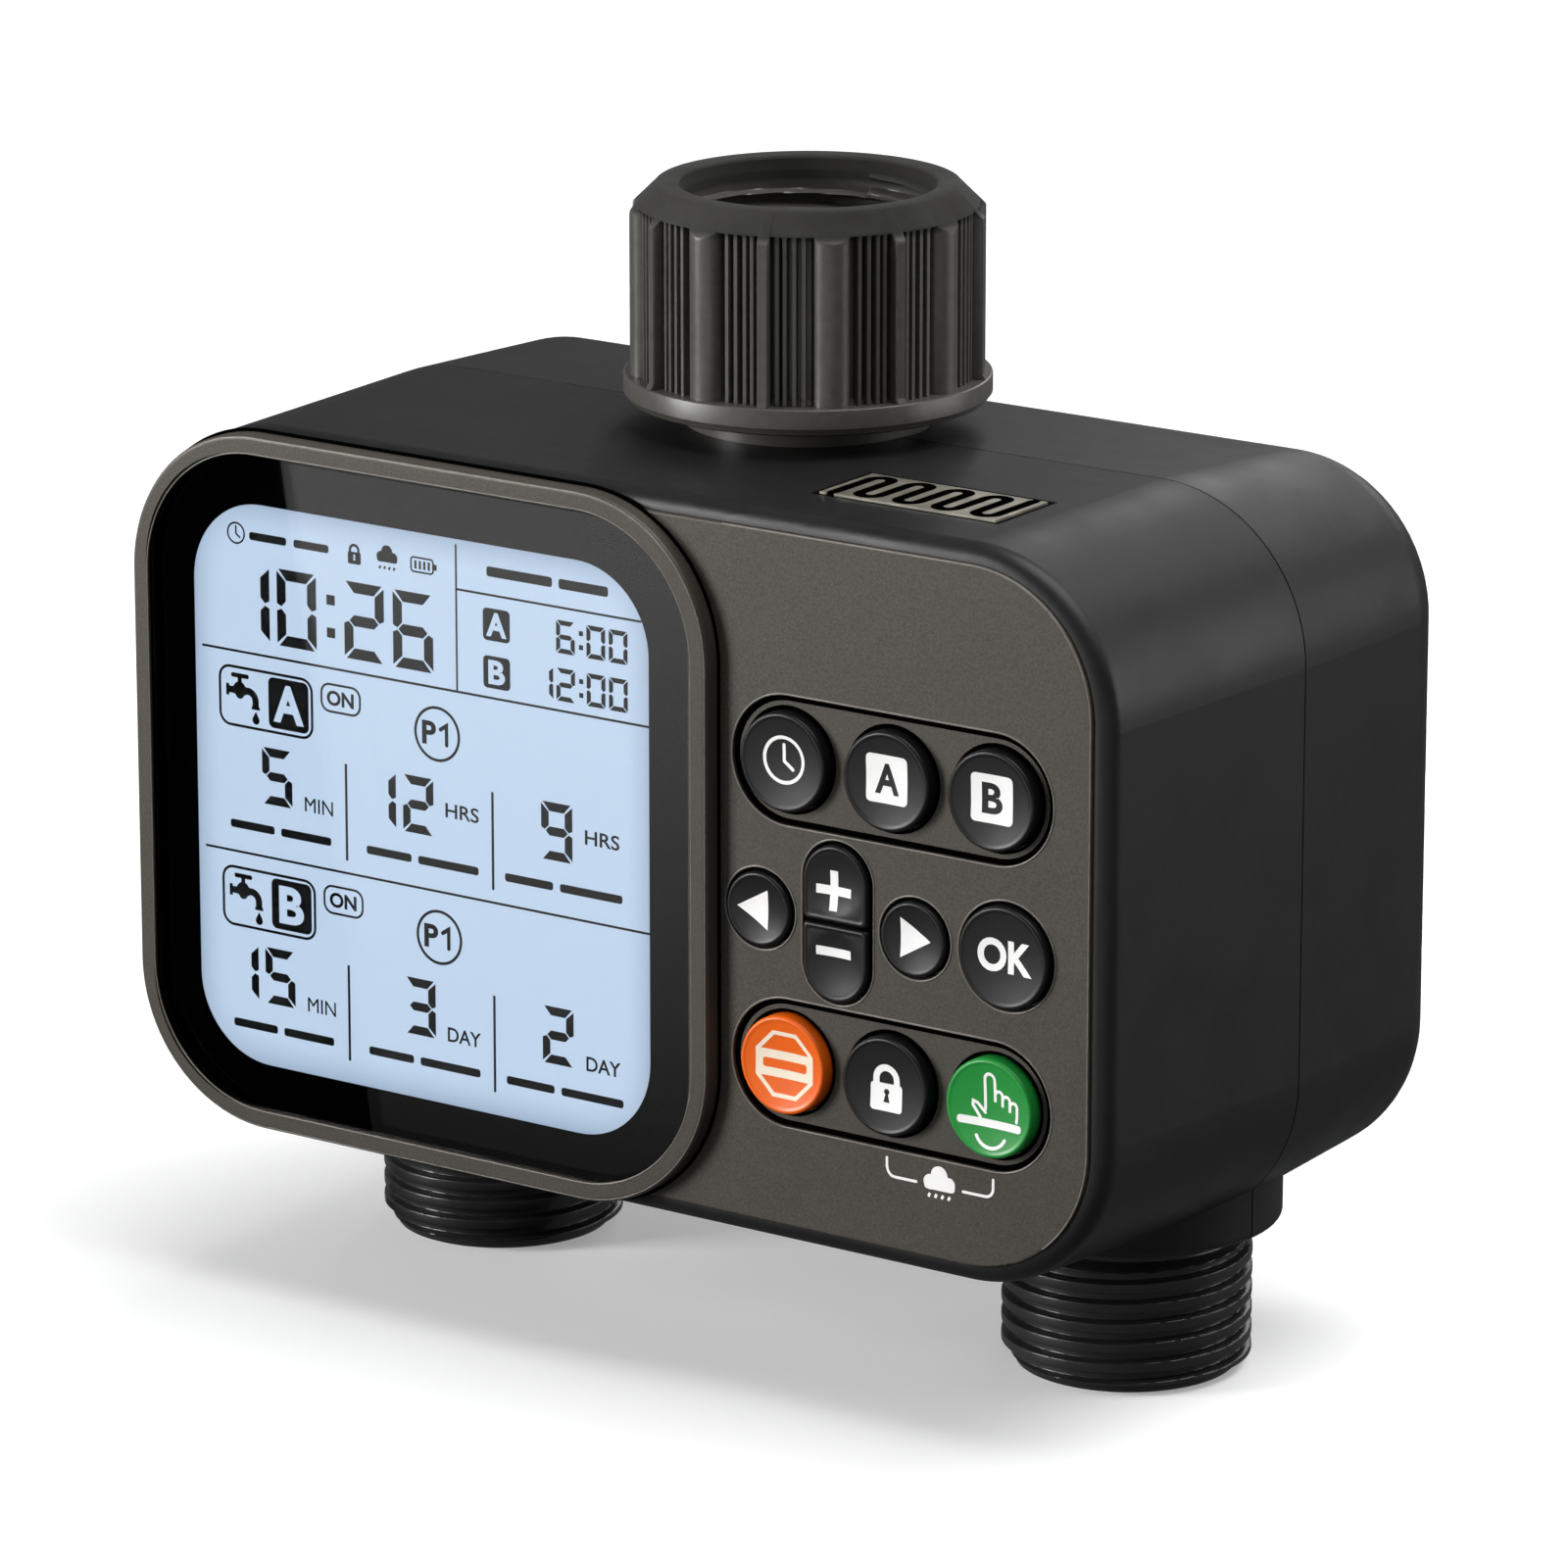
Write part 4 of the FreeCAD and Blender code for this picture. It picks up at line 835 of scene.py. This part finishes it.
def tile_icon(letter):
    """A white tile with the letter cut through it."""
    side = {"A": 1.48, "B": 1.25}[letter]
    return [[rounded(-2.53, 2.53, -2.35, 2.78, 0.55)]], word(letter, -side, side, -1.38, 1.88, 0.03)


def plus_icon(reach, width):
    """A plus sign as one outline."""
    r, w = reach, width / 2
    arm = [(w, r), (w, w), (r, w)]
    points = []
    for _ in range(4):
        points += arm
        arm = [(z, -x) for x, z in arm]
    return [[points]]


def stop_icon():
    """An octagon outline with a filled band across it."""
    def octagon(r):
        k = r * math.tan(math.pi / 8)
        return [(r, k), (k, r), (-k, r), (-r, k), (-r, -k), (-k, -r), (k, -r), (r, -k)]
    band = [[(-3.62, -1.45), (3.62, -1.45), (3.62, 1.45), (-3.62, 1.45)]]
    return [[octagon(3.6), octagon(3.15)], band], [[rounded(-2.75, 2.75, -0.5, 0.5, 0.3)]]


HAND_LINE = 0.34
KNUCKLE_STEP = 0.92


def hand_icon():
    """A pointing hand in outline above a plain bar."""
    thumb = [(-0.6, -0.55), (-1.55, 0.35), (-2.05, 0.5), (-2.1, 0.05), (-1.2, -1.15)]
    finger = [(-0.6, -0.2), (-0.6, 3.1)] + arc(0.0, 3.1, 0.6, 180, 0) + [(0.6, 0.9)]
    islands = stroke(finger, HAND_LINE) + stroke(thumb, HAND_LINE)
    r = KNUCKLE_STEP / 2
    for i, height in enumerate((2.0, 1.6, 1.1)):
        x0 = 0.6 + KNUCKLE_STEP * i
        knuckle = [(x0, height - 0.55)] + arc(x0 + r, height - 0.5, r, 180, 0)
        islands += stroke(knuckle + [(x0 + KNUCKLE_STEP, height - 1.5)], HAND_LINE)
    islands += stroke([(3.36, -0.4), (3.3, -0.9)], HAND_LINE)
    islands += [[rounded(-3.9, 3.9, -2.05, -1.2, 0.35)]]
    return islands + stroke(arc(0.15, -2.3, 1.9, 205, 335, 12), 0.36)


ICON_LIFT = 0.02
ICON_BACK = 0.12
ICON_CUT = 0.7
KEY_FORMS = {"key_plus": "upper", "key_minus": "lower"}
KEY_SLOTS = {"key_stop": "key_orange", "key_manual": "key_green"}


def key_print(node, islands, place, material, label, lift):
    """Art on a key's face, following its dish."""
    x, z, depth = place
    printed(label, moved(islands, x, z), lambda px, pz: depth(px, pz) - ICON_LIFT * lift,
            lambda px, pz: depth(px, pz) + ICON_BACK, material, node, step=ICON_CUT)


def keys():
    places = {}
    for node in sorted(n for n in frame["nodes"] if n.startswith("key_")):
        mesh, places[node] = key_cap(node, KEY_FORMS.get(node, "round"))
        slot = KEY_SLOTS.get(node, "key_black")
        piece(node + "_cap", mesh, slot, node, [node])
    octagon, band_bar = stop_icon()
    marks = [
        ("key_clock", moved(clock_icon(0, 0, 2.6, 0.38), 0.05, 0.25), "print_white", "clock_mark", 1.0),
        ("key_left", triangle(-2.7, 1.1, 2.15), "print_white", "left_mark", 1.0),
        ("key_right", triangle(2.1, -1.6, 2.15), "print_white", "right_mark", 1.0),
        ("key_plus", moved(plus_icon(2.14, 0.96), -0.25, -0.75), "print_white", "plus_mark", 1.0),
        ("key_minus", bar(-2.38, 1.2, 1.88, 1.2, 0.98), "print_white", "minus_mark", 1.0),
        ("key_ok", word("OK", -3.15, 3.5, -1.63, 1.94, 0.035), "print_white", "ok_mark", 1.0),
        ("key_stop", moved(octagon, 0.2, 0), "print_cream", "stop_mark", 1.0),
        ("key_stop", moved(band_bar, 0.2, 0), "key_orange", "stop_bar", 2.0),
        ("key_lock", lock_icon(0.05, 0.05, 3.9, 5.4, 0.74), "print_white", "lock_mark", 1.0),
        ("key_manual", hand_icon(), "print_white", "manual_mark", 1.0),
    ]
    for node, letter in (("key_program_a", "A"), ("key_program_b", "B")):
        tile, text = tile_icon(letter)
        marks += [(node, tile, "print_white", node + "_tile", 1.0)]
        marks += [(node, text, "key_black", node + "_letter", 2.0)]
    for node, islands, material, label, lift in marks:
        key_print(node, islands, places[node], material, label, lift)


# ---- face plate ----
def panel_print():
    """The bracket and rain cloud printed under the lower key row."""
    left = [(35.0, -27.3), (35.0, -28.3)] + arc(36.0, -28.3, 0.95, 180, 270, 6) + [(38.65, -29.25)]
    right = [(48.15, -27.3), (48.15, -28.3)] + arc(47.2, -28.3, 0.95, 0, -90, 6) + [(44.45, -29.25)]
    islands = stroke(left, 0.3) + stroke(right, 0.3) + cloud_icon(41.5, -28.6, 4.1) + drops(41.5, -30.35, 3.4)
    printed("panel_marks", islands, level(-INK), level(0.05), "print_white")


BEAD_SIDES = 8


def bead(bm, line, y, radius, closed=True):
    """A thin round bead along a line of (x, z) points."""
    rings = []
    last = len(line) - 1
    for i, (x, z) in enumerate(line):
        px, pz = line[i - 1] if closed or i else line[0]
        qx, qz = line[(i + 1) % len(line)] if closed or i < last else line[last]
        length = math.hypot(qx - px, qz - pz)
        nx, nz = (qz - pz) / length, (px - qx) / length
        ring = []
        for k in range(BEAD_SIDES):
            a = 2 * math.pi * k / BEAD_SIDES
            off = radius * math.cos(a)
            ring.append(bm.verts.new(spot(x + nx * off, y + radius * math.sin(a), z + nz * off)))
        rings.append(ring)
    if closed:
        rings.append(rings[0])
    else:
        bm.faces.new(rings[0])
        bm.faces.new(rings[-1][::-1])
    for a, b in zip(rings, rings[1:]):
        for k in range(BEAD_SIDES):
            m = (k + 1) % BEAD_SIDES
            bm.faces.new((a[k], a[m], b[m], b[k]))


def beads(name, runs, material):
    """Beads as one piece, each run a line, its depth, its radius and whether it is closed."""
    bm = bmesh.new()
    for run in runs:
        bead(bm, *run)
    piece(name, finished(bm, name, 60), material, "case")


LIP = 0.13
LIP_Y = 0.03
WELL_GAP = 0.35
TRAY_R = 6.9
TRAYS = (("key_clock", "key_program_b"), ("key_stop", "key_manual"))


def centre(node):
    low, high = body_box(node)
    return (low.x + high.x) / 2, (low.z + high.z) / 2


def tray_outline(tray, radius):
    (x0, z), (x1, _) = centre(tray[0]), centre(tray[1])
    return rounded(x0 - radius, x1 + radius, z - radius, z + radius, radius - 0.01, 22)


def key_wells():
    """The rolled lips of the key wells and of the two long trays, as beads whose light colour is a painted
    highlight.
    """
    lines = []
    for node in ("key_left", "key_right", "key_ok"):
        low, high = body_box(node)
        hole = (high.x - low.x) / 2 - key_flange(low, high) + WELL_GAP
        lines.append(circle(*centre(node), hole + LIP, 72))
    low, high = body_box("key_plus")
    low.z = body_box("key_minus")[0].z
    edge = key_flange(low, high) - WELL_GAP - LIP
    lines.append(oval(low, high, edge, (high.x - low.x) / 2 - 0.01, 18))
    lines += [tray_outline(tray, TRAY_R + LIP) for tray in TRAYS]
    beads("key_well_lips", [(line, LIP_Y, LIP) for line in lines], "worn_edge")


TRAY_GROOVE = 0.62
KEY_GROOVE = (5.78, 5.5)
GROOVE_Y = (0.35, 0.6)
TRAY_KEYS = ("key_clock", "key_program_a", "key_program_b", "key_stop", "key_lock", "key_manual")


def tray_grooves():
    """Painted shade: black bands in the grooves round the two trays and in the gaps round each key in them.
    """
    bands = [[tray_outline(tray, TRAY_R - inset) for inset in (0.01, TRAY_GROOVE)] for tray in TRAYS]
    bands += [[circle(*centre(node), radius, 72) for radius in KEY_GROOVE] for node in TRAY_KEYS]
    printed("tray_grooves", bands, *map(level, GROOVE_Y), "mask_ink")


EDGE_INSET = 0.16


def bright_edges():
    """Thin painted highlights: light beads along the rims of the face plate and the display bezel."""
    low, high = body_box("screen_bezel")
    plate_low, plate_high = body_box("face_plate")
    r = PLATE_CORNER - EDGE_INSET
    x = plate_high.x - EDGE_INSET - r
    top, bottom = plate_high.z - EDGE_INSET, plate_low.z + EDGE_INSET
    plate_rim = [(high.x + 0.6, top)] + arc(x, top - r, r, 90, 0, RIM_STEPS)
    plate_rim += arc(x, bottom + r, r, 0, -50, 14)
    bezel_rims = [(oval(low, high, inset, BEZEL_CORNER, RIM_STEPS), low.y + depth, radius)
                  for inset, depth, radius in ((0.3, 0.13, 0.12), (2.0, 0.06, 0.09))]
    beads("bright_edges", [(plate_rim, 0.06, 0.12, False)] + bezel_rims, "worn_edge")


GAP_TURNS = 8
GAP_MARGIN = 1.3
GAP_WIDTH = 1.3


def sensor_gap():
    """The dark line that winds between the rain sensor's two electrodes, level with their tops."""
    low, high = body_box("rain_sensor_electrodes")
    step = (high.x - low.x - 2 * GAP_MARGIN) / GAP_TURNS
    middle = (low.y + high.y) / 2
    reach = (high.y - low.y) / 2 - 1.0 - step / 2
    line = [(low.x + GAP_MARGIN, low.y + 0.7)]
    for i in range(GAP_TURNS):
        x = low.x + GAP_MARGIN + (i + 0.5) * step
        side = 1 if i % 2 == 0 else -1
        line += arc(x, middle + side * reach, step / 2, 180, 180 - 180 * side, 10)
    line.append((high.x - GAP_MARGIN, high.y - 0.7))
    printed("sensor_gap", stroke(line, GAP_WIDTH), level(-high.z - 0.01), level(-high.z + 0.2), "mask_ink",
            place=lambda x, depth, y: spot(x, y, -depth))


# ---- nut and outlets, as columns of (radius, z) points round a vertical line ----
PITCH = 25.4 / 11.5
PIPE_Y = sum(end.y for end in body_box("swivel_nut")) / 2


def turned(name, x, angles, column, sharp_degrees):
    """A closed surface: column(angle) gives the same number of (radius, z) points at each angle."""
    bm = bmesh.new()
    grid = []
    for angle in angles:
        a = math.radians(angle)
        points = [(x + r * math.cos(a), PIPE_Y + r * math.sin(a), z) for r, z in column(angle)]
        grid.append([bm.verts.new(spot(*point)) for point in points])
    count = len(grid[0])
    for i, points in enumerate(grid):
        following = grid[(i + 1) % len(grid)]
        for j in range(count):
            k = (j + 1) % count
            bm.faces.new((points[j], points[k], following[k], following[j]))
    return finished(bm, name, sharp_degrees)


def ease(t):
    t = min(1.0, max(0.0, t))
    return t * t * (3 - 2 * t)


def steps(start, end, pitch):
    """Evenly spaced values from start to end, about pitch apart."""
    count = max(1, round(abs(end - start) / pitch))
    return [start + (end - start) * i / count for i in range(count + 1)]


GROOVE_AT_FRONT = -49.3
FRONT_ANGLE = -55.0
GROOVE_HALF = 0.3
GROOVE_FLANK = 0.32
CREST_R = 13.38
ROOT_R = 12.45


def outlet_thread(angle, z):
    """The hose thread's radius: broad rounded ridges with narrow grooves between them."""
    phase = (z - GROOVE_AT_FRONT) / PITCH - (angle - FRONT_ANGLE) / 360.0
    away = abs(phase - round(phase)) * PITCH
    rise = ease((away - GROOVE_HALF) / GROOVE_FLANK)
    crown = 0.12 * ((PITCH / 2 - away) / (PITCH / 2)) ** 2
    return ROOT_R + (CREST_R - crown - ROOT_R) * rise


CORE_R = 6.0
COLLAR_FACE = -31.05
BORE_END = -34.0
NECK_R = 12.4
THREAD_START_R = 12.2
THREAD_TOP, THREAD_END = -43.2, -57.15
LEAD_R = 11.95
BORE_R = 9.2
NECK = [(10.5, COLLAR_FACE), (NECK_R, COLLAR_FACE), (NECK_R, -40.9), (NECK_R, -41.5), (12.95, -41.65),
        (13.05, -41.85), (13.05, -42.35), (12.95, -42.55), (12.3, -42.7), (THREAD_START_R, -43.1)]


def outlet_mesh(node):
    """A hose outlet: a ribbed neck, the thread, a plain lead and the bore."""
    low, high = body_box(node)
    end = low.z

    def column(angle):
        points = [(CORE_R, high.z), (10.5, high.z)] + NECK
        for z in steps(THREAD_TOP - 0.1, THREAD_END + 0.05, 0.07):
            fade = ease((THREAD_TOP - z) / 1.2) * ease((z - THREAD_END) / 0.5)
            base = LEAD_R if z < (THREAD_TOP + THREAD_END) / 2 else THREAD_START_R
            points.append((base + (outlet_thread(angle, z) - base) * fade, z))
        points += [(LEAD_R, end + 0.45), (LEAD_R - 0.13, end + 0.13), (LEAD_R - 0.45, end)]
        points += [(BORE_R + 0.5, end), (BORE_R + 0.15, end + 0.12), (BORE_R, end + 0.4)]
        return points + [(BORE_R, BORE_END), (CORE_R, BORE_END)]
    return turned(node + "_body", (low.x + high.x) / 2, [i * 2.5 for i in range(144)], column, 50)


NUT_PERIOD = 45.0
NUT_RIB_ANGLE = 20.2
NUT_RIB_R = 19.2
NUT_RIDGE_R = 18.25
NUT_GROOVE_R = 16.7
NUT_RIB = [(0.0, NUT_RIB_R), (1.45, NUT_RIB_R), (1.75, NUT_RIB_R - 0.15), (1.9, NUT_RIB_R - 0.4)]
NUT_RIB += [(2.05, NUT_GROOVE_R)]
NUT_RIDGE = [(-1.0, NUT_GROOVE_R), (-0.85, 18.0), (-0.6, NUT_RIDGE_R), (0.6, NUT_RIDGE_R), (0.85, 18.0)]
NUT_RIDGE += [(1.0, NUT_GROOVE_R)]
NUT_RIDGES_AT = (4.3, 6.8, 10.0, 13.2)
NUT_LOBE = [(15.8, NUT_GROOVE_R), (16.1, 17.5), (16.7, 18.1), (17.8, 18.6), (19.6, 18.95), (22.5, 19.1)]


def nut_section():
    """(angle, radius) right round the nut: narrow ribs, recesses, fine ridges and rounded lobes."""
    ridges = [(at + a, r) for at in NUT_RIDGES_AT for a, r in NUT_RIDGE]
    half = NUT_RIB + ridges + NUT_LOBE
    period = half + [(NUT_PERIOD - a, r) for a, r in reversed(half[1:-1])]
    return {NUT_RIB_ANGLE + i * NUT_PERIOD + a: r for i in range(8) for a, r in period}


NUT_BORE_R = 13.6
NUT_THREAD_R = 13.55
NUT_THREAD_TOP, NUT_THREAD_END = 63.5, 53.1
NUT_CREST_DEPTH = 1.15
NUT_FLOOR = 44.4
NUT_RIM_R = 16.2
NUT_LIP_R = 11.95
NUT_FLANGE_R = 19.7
NUT_FOOT = 3.0
CHAMFER_SLOPE = 1.15


def nut_thread(angle, z):
    """The internal thread's radius, with crests that reach inwards."""
    phase = (z - NUT_THREAD_END - 1.0) / PITCH - angle / 360.0
    away = abs(phase - round(phase)) * PITCH
    return NUT_THREAD_R - NUT_CREST_DEPTH * ease(1 - (away - 0.2) / 0.55)


def nut_mesh():
    """The swivel nut: flange, grip section, chamfered rim, mouth and internal thread."""
    low, high = body_box("swivel_nut")
    foot, top = low.z + NUT_FOOT, high.z
    section = nut_section()
    flange = [(NUT_LIP_R, 0.0), (18.6, 0.0), (19.2, 0.25), (19.55, 0.8), (NUT_FLANGE_R, 0.95)]
    flange += [(NUT_FLANGE_R, 2.75), (19.65, 2.9), (19.5, NUT_FOOT), (19.3, NUT_FOOT)]
    rim = [(NUT_RIM_R + 0.14, -0.24), (NUT_RIM_R, -0.08), (NUT_RIM_R - 0.14, 0.0), (14.1, 0.0)]
    rim += [(13.85, -0.08), (13.7, -0.3), (13.65, -1.3)]
    inner = steps(NUT_THREAD_TOP + 0.1, NUT_THREAD_END - 0.1, 0.12)

    def column(angle):
        r = section[angle]
        # The grooves between the fine ridges close below the chamfer.
        crest = max(r, NUT_RIDGE_R)
        meet = top - 0.35 - (crest - NUT_RIM_R) / CHAMFER_SLOPE
        root = 19.5 if r > 19.1 else max(r, 17.6)
        points = [(radius, low.z + z) for radius, z in flange]
        points += [(root, foot), (root, foot + 0.1), (r, foot + 0.6), (r, meet - 0.5), (crest, meet - 0.2)]
        points += [(crest - 0.04, meet - 0.06), (crest - 0.14, meet + 0.06)]
        points += [(radius, top + z) for radius, z in rim]
        start = NUT_THREAD_TOP + ((angle - 95.0) % 360.0 / 360.0 - 1) * PITCH
        for z in inner:
            fade = ease((start - z) / 0.35) * ease((z - NUT_THREAD_END) / 0.6)
            points.append((NUT_BORE_R + (nut_thread(angle, z) - NUT_BORE_R) * fade, z))
        return points + [(NUT_BORE_R, NUT_FLOOR), (NUT_LIP_R, NUT_FLOOR)]
    return turned("nut_body", 0.0, sorted(section), column, 30)


def pipework():
    for node in ("outlet_a", "outlet_b"):
        slot = "outlet_plastic"
        piece(node + "_body", outlet_mesh(node), slot, "case", [node])
    slot = "nut_plastic"
    piece("nut_body", nut_mesh(), slot, "swivel_nut", ["swivel_nut"])


# ---- studio ----
FLOOR_Z = min(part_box(n)[0].z for n in frame["nodes"])
CARD_NEAR_Y, CARD_FAR_Y = -60, -290


def card_material(name, near, far):
    """A card that glows from near, at the case, to far, a few hundred millimetres in front of it."""
    made = Surface(name, (0.0, 0.0, 0.0), 1.0, 0.0)
    away = made.mapped(made.axis("Y"), spot(0, CARD_NEAR_Y, 0).y, spot(0, CARD_FAR_Y, 0).y)
    glow = made.ramp(away, (near, near, near, 1.0), (far, far, far * 0.99, 1.0), 0.0, 1.0)
    made.feed(glow, "Emission Color")
    made.put("Emission Strength", 1.0)
    return made.material


def sheet_on_floor(name, corners, lift_mm, material, unseen_by):
    """A flat staged sheet from (x, y) corners in body millimetres, unseen by some kinds of ray."""
    mesh = bpy.data.meshes.new(name)
    z = (FLOOR_Z - BODY_ORIGIN.z) / MM + lift_mm
    mesh.from_pydata([spot(x, y, z) for x, y in corners], [], [tuple(range(len(corners)))])
    mesh.materials.append(material)
    made = linked(name, mesh)
    for ray in unseen_by:
        setattr(made, "visible_" + ray, False)


FLOOR_HALF = 4000
FLOOR_GLOW = (0.26, 1.0)
FLOOR_GLOW_REACH = (0.5, 1.8)


def studio_floor():
    """A white floor whose glow takes over from the lamps far from the object."""
    made = Surface("studio_floor", (0.82, 0.82, 0.82), 0.6, 0.1).mottle(60.0, 0.01).grain(0.8, 0.01)
    made.put("Emission Color", (1.0, 1.0, 1.0, 1.0))
    away = made.node("ShaderNodeVectorMath", operation="LENGTH")
    made.link(made.place, away.inputs[0])
    made.feed(made.mapped(away.outputs["Value"], *FLOOR_GLOW_REACH, *FLOOR_GLOW), "Emission Strength")
    h = FLOOR_HALF
    corners = [(-h, -h), (h, -h), (h, h), (-h, h)]
    sheet_on_floor("studio_floor", corners, 0.0, made.material, ("diffuse", "glossy", "transmission"))


MIRROR_EDGE = ((-79.7, -63.6), (-274.0, -295.0))


def reflected_cards():
    """What the glass mirrors: a dark side and a grey side that meet on one line, unseen by the camera."""
    near, far = MIRROR_EDGE
    run = (far[0] - near[0], far[1] - near[1])
    start = (near[0] - run[0] * 0.4, near[1] - run[1] * 0.4)
    end = (near[0] + run[0] * 4, near[1] + run[1] * 4)
    dark = [start, end, (-2500, end[1]), (-2500, start[1])]
    grey = [start, (start[0] + 800, start[1]), (end[0] + 1600, end[1]), end]
    for name, corners, glow in (("dark_card", dark, (0.0, 0.0)), ("grey_card", grey, (0.14, 1.0))):
        sheet_on_floor(name, corners, 1.0, card_material(name, *glow), ("camera", "diffuse", "shadow"))


# Each lamp: where it is and what it faces, in metres, then its width, height and watts.
MIDDLE = (0.0, 0.0, -0.05)
LAMPS = {
    "overhead": ((0.42, 0.14, 1.36), MIDDLE, 1.35, 1.35, 27),
    "left_front": ((-0.86, -0.9, 0.18), MIDDLE, 0.4, 0.65, 20),
    "right_back": ((0.62, 0.4, 0.06), (0.06, 0.0, -0.04), 0.5, 0.4, 1.6),
    "back": ((-0.1, 1.3, 0.55), MIDDLE, 1.2, 0.5, 4),
}


def lights():
    """Soft rectangular lamps and a dim, even world."""
    for name, (where, target, width, height, power) in LAMPS.items():
        light = bpy.data.lights.new(name, "AREA")
        light.shape = "RECTANGLE"
        light.size, light.size_y = width, height
        light.energy = power
        made = linked(name, light)
        made.location = where
        made.rotation_euler = (Vector(target) - Vector(where)).to_track_quat("-Z", "Y").to_euler()
    world = bpy.data.worlds.new("studio")
    world.use_nodes = True
    background = world.node_tree.nodes["Background"]
    background.inputs["Color"].default_value = (0.95, 0.97, 1.0, 1)
    background.inputs["Strength"].default_value = 0.14
    bpy.context.scene.world = world


FOCAL_MM = 196.8
CAMERA_PLACE = (0.50824, -0.73140, 0.18985)
CAMERA_RIGHT = Vector((0.81955, 0.57300, 0.0))
CAMERA_BACK = Vector((0.55187, -0.78932, 0.26909))


def camera():
    data = bpy.data.cameras.new("camera")
    data.lens = FOCAL_MM
    data.sensor_width = 36.0
    made = linked("camera", data)
    axes = (CAMERA_RIGHT, CAMERA_BACK.cross(CAMERA_RIGHT), CAMERA_BACK)
    made.matrix_world = Matrix.Translation(CAMERA_PLACE) @ Matrix(axes).transposed().to_4x4()
    bpy.context.scene.camera = made


dress_cad_nodes()
display()
keys()
panel_print()
key_wells()
tray_grooves()
bright_edges()
sensor_gap()
pipework()
studio_floor()
reflected_cards()
lights()
camera()
bpy.context.scene.view_settings.view_transform = "Standard"
bpy.context.scene.render.film_transparent = False
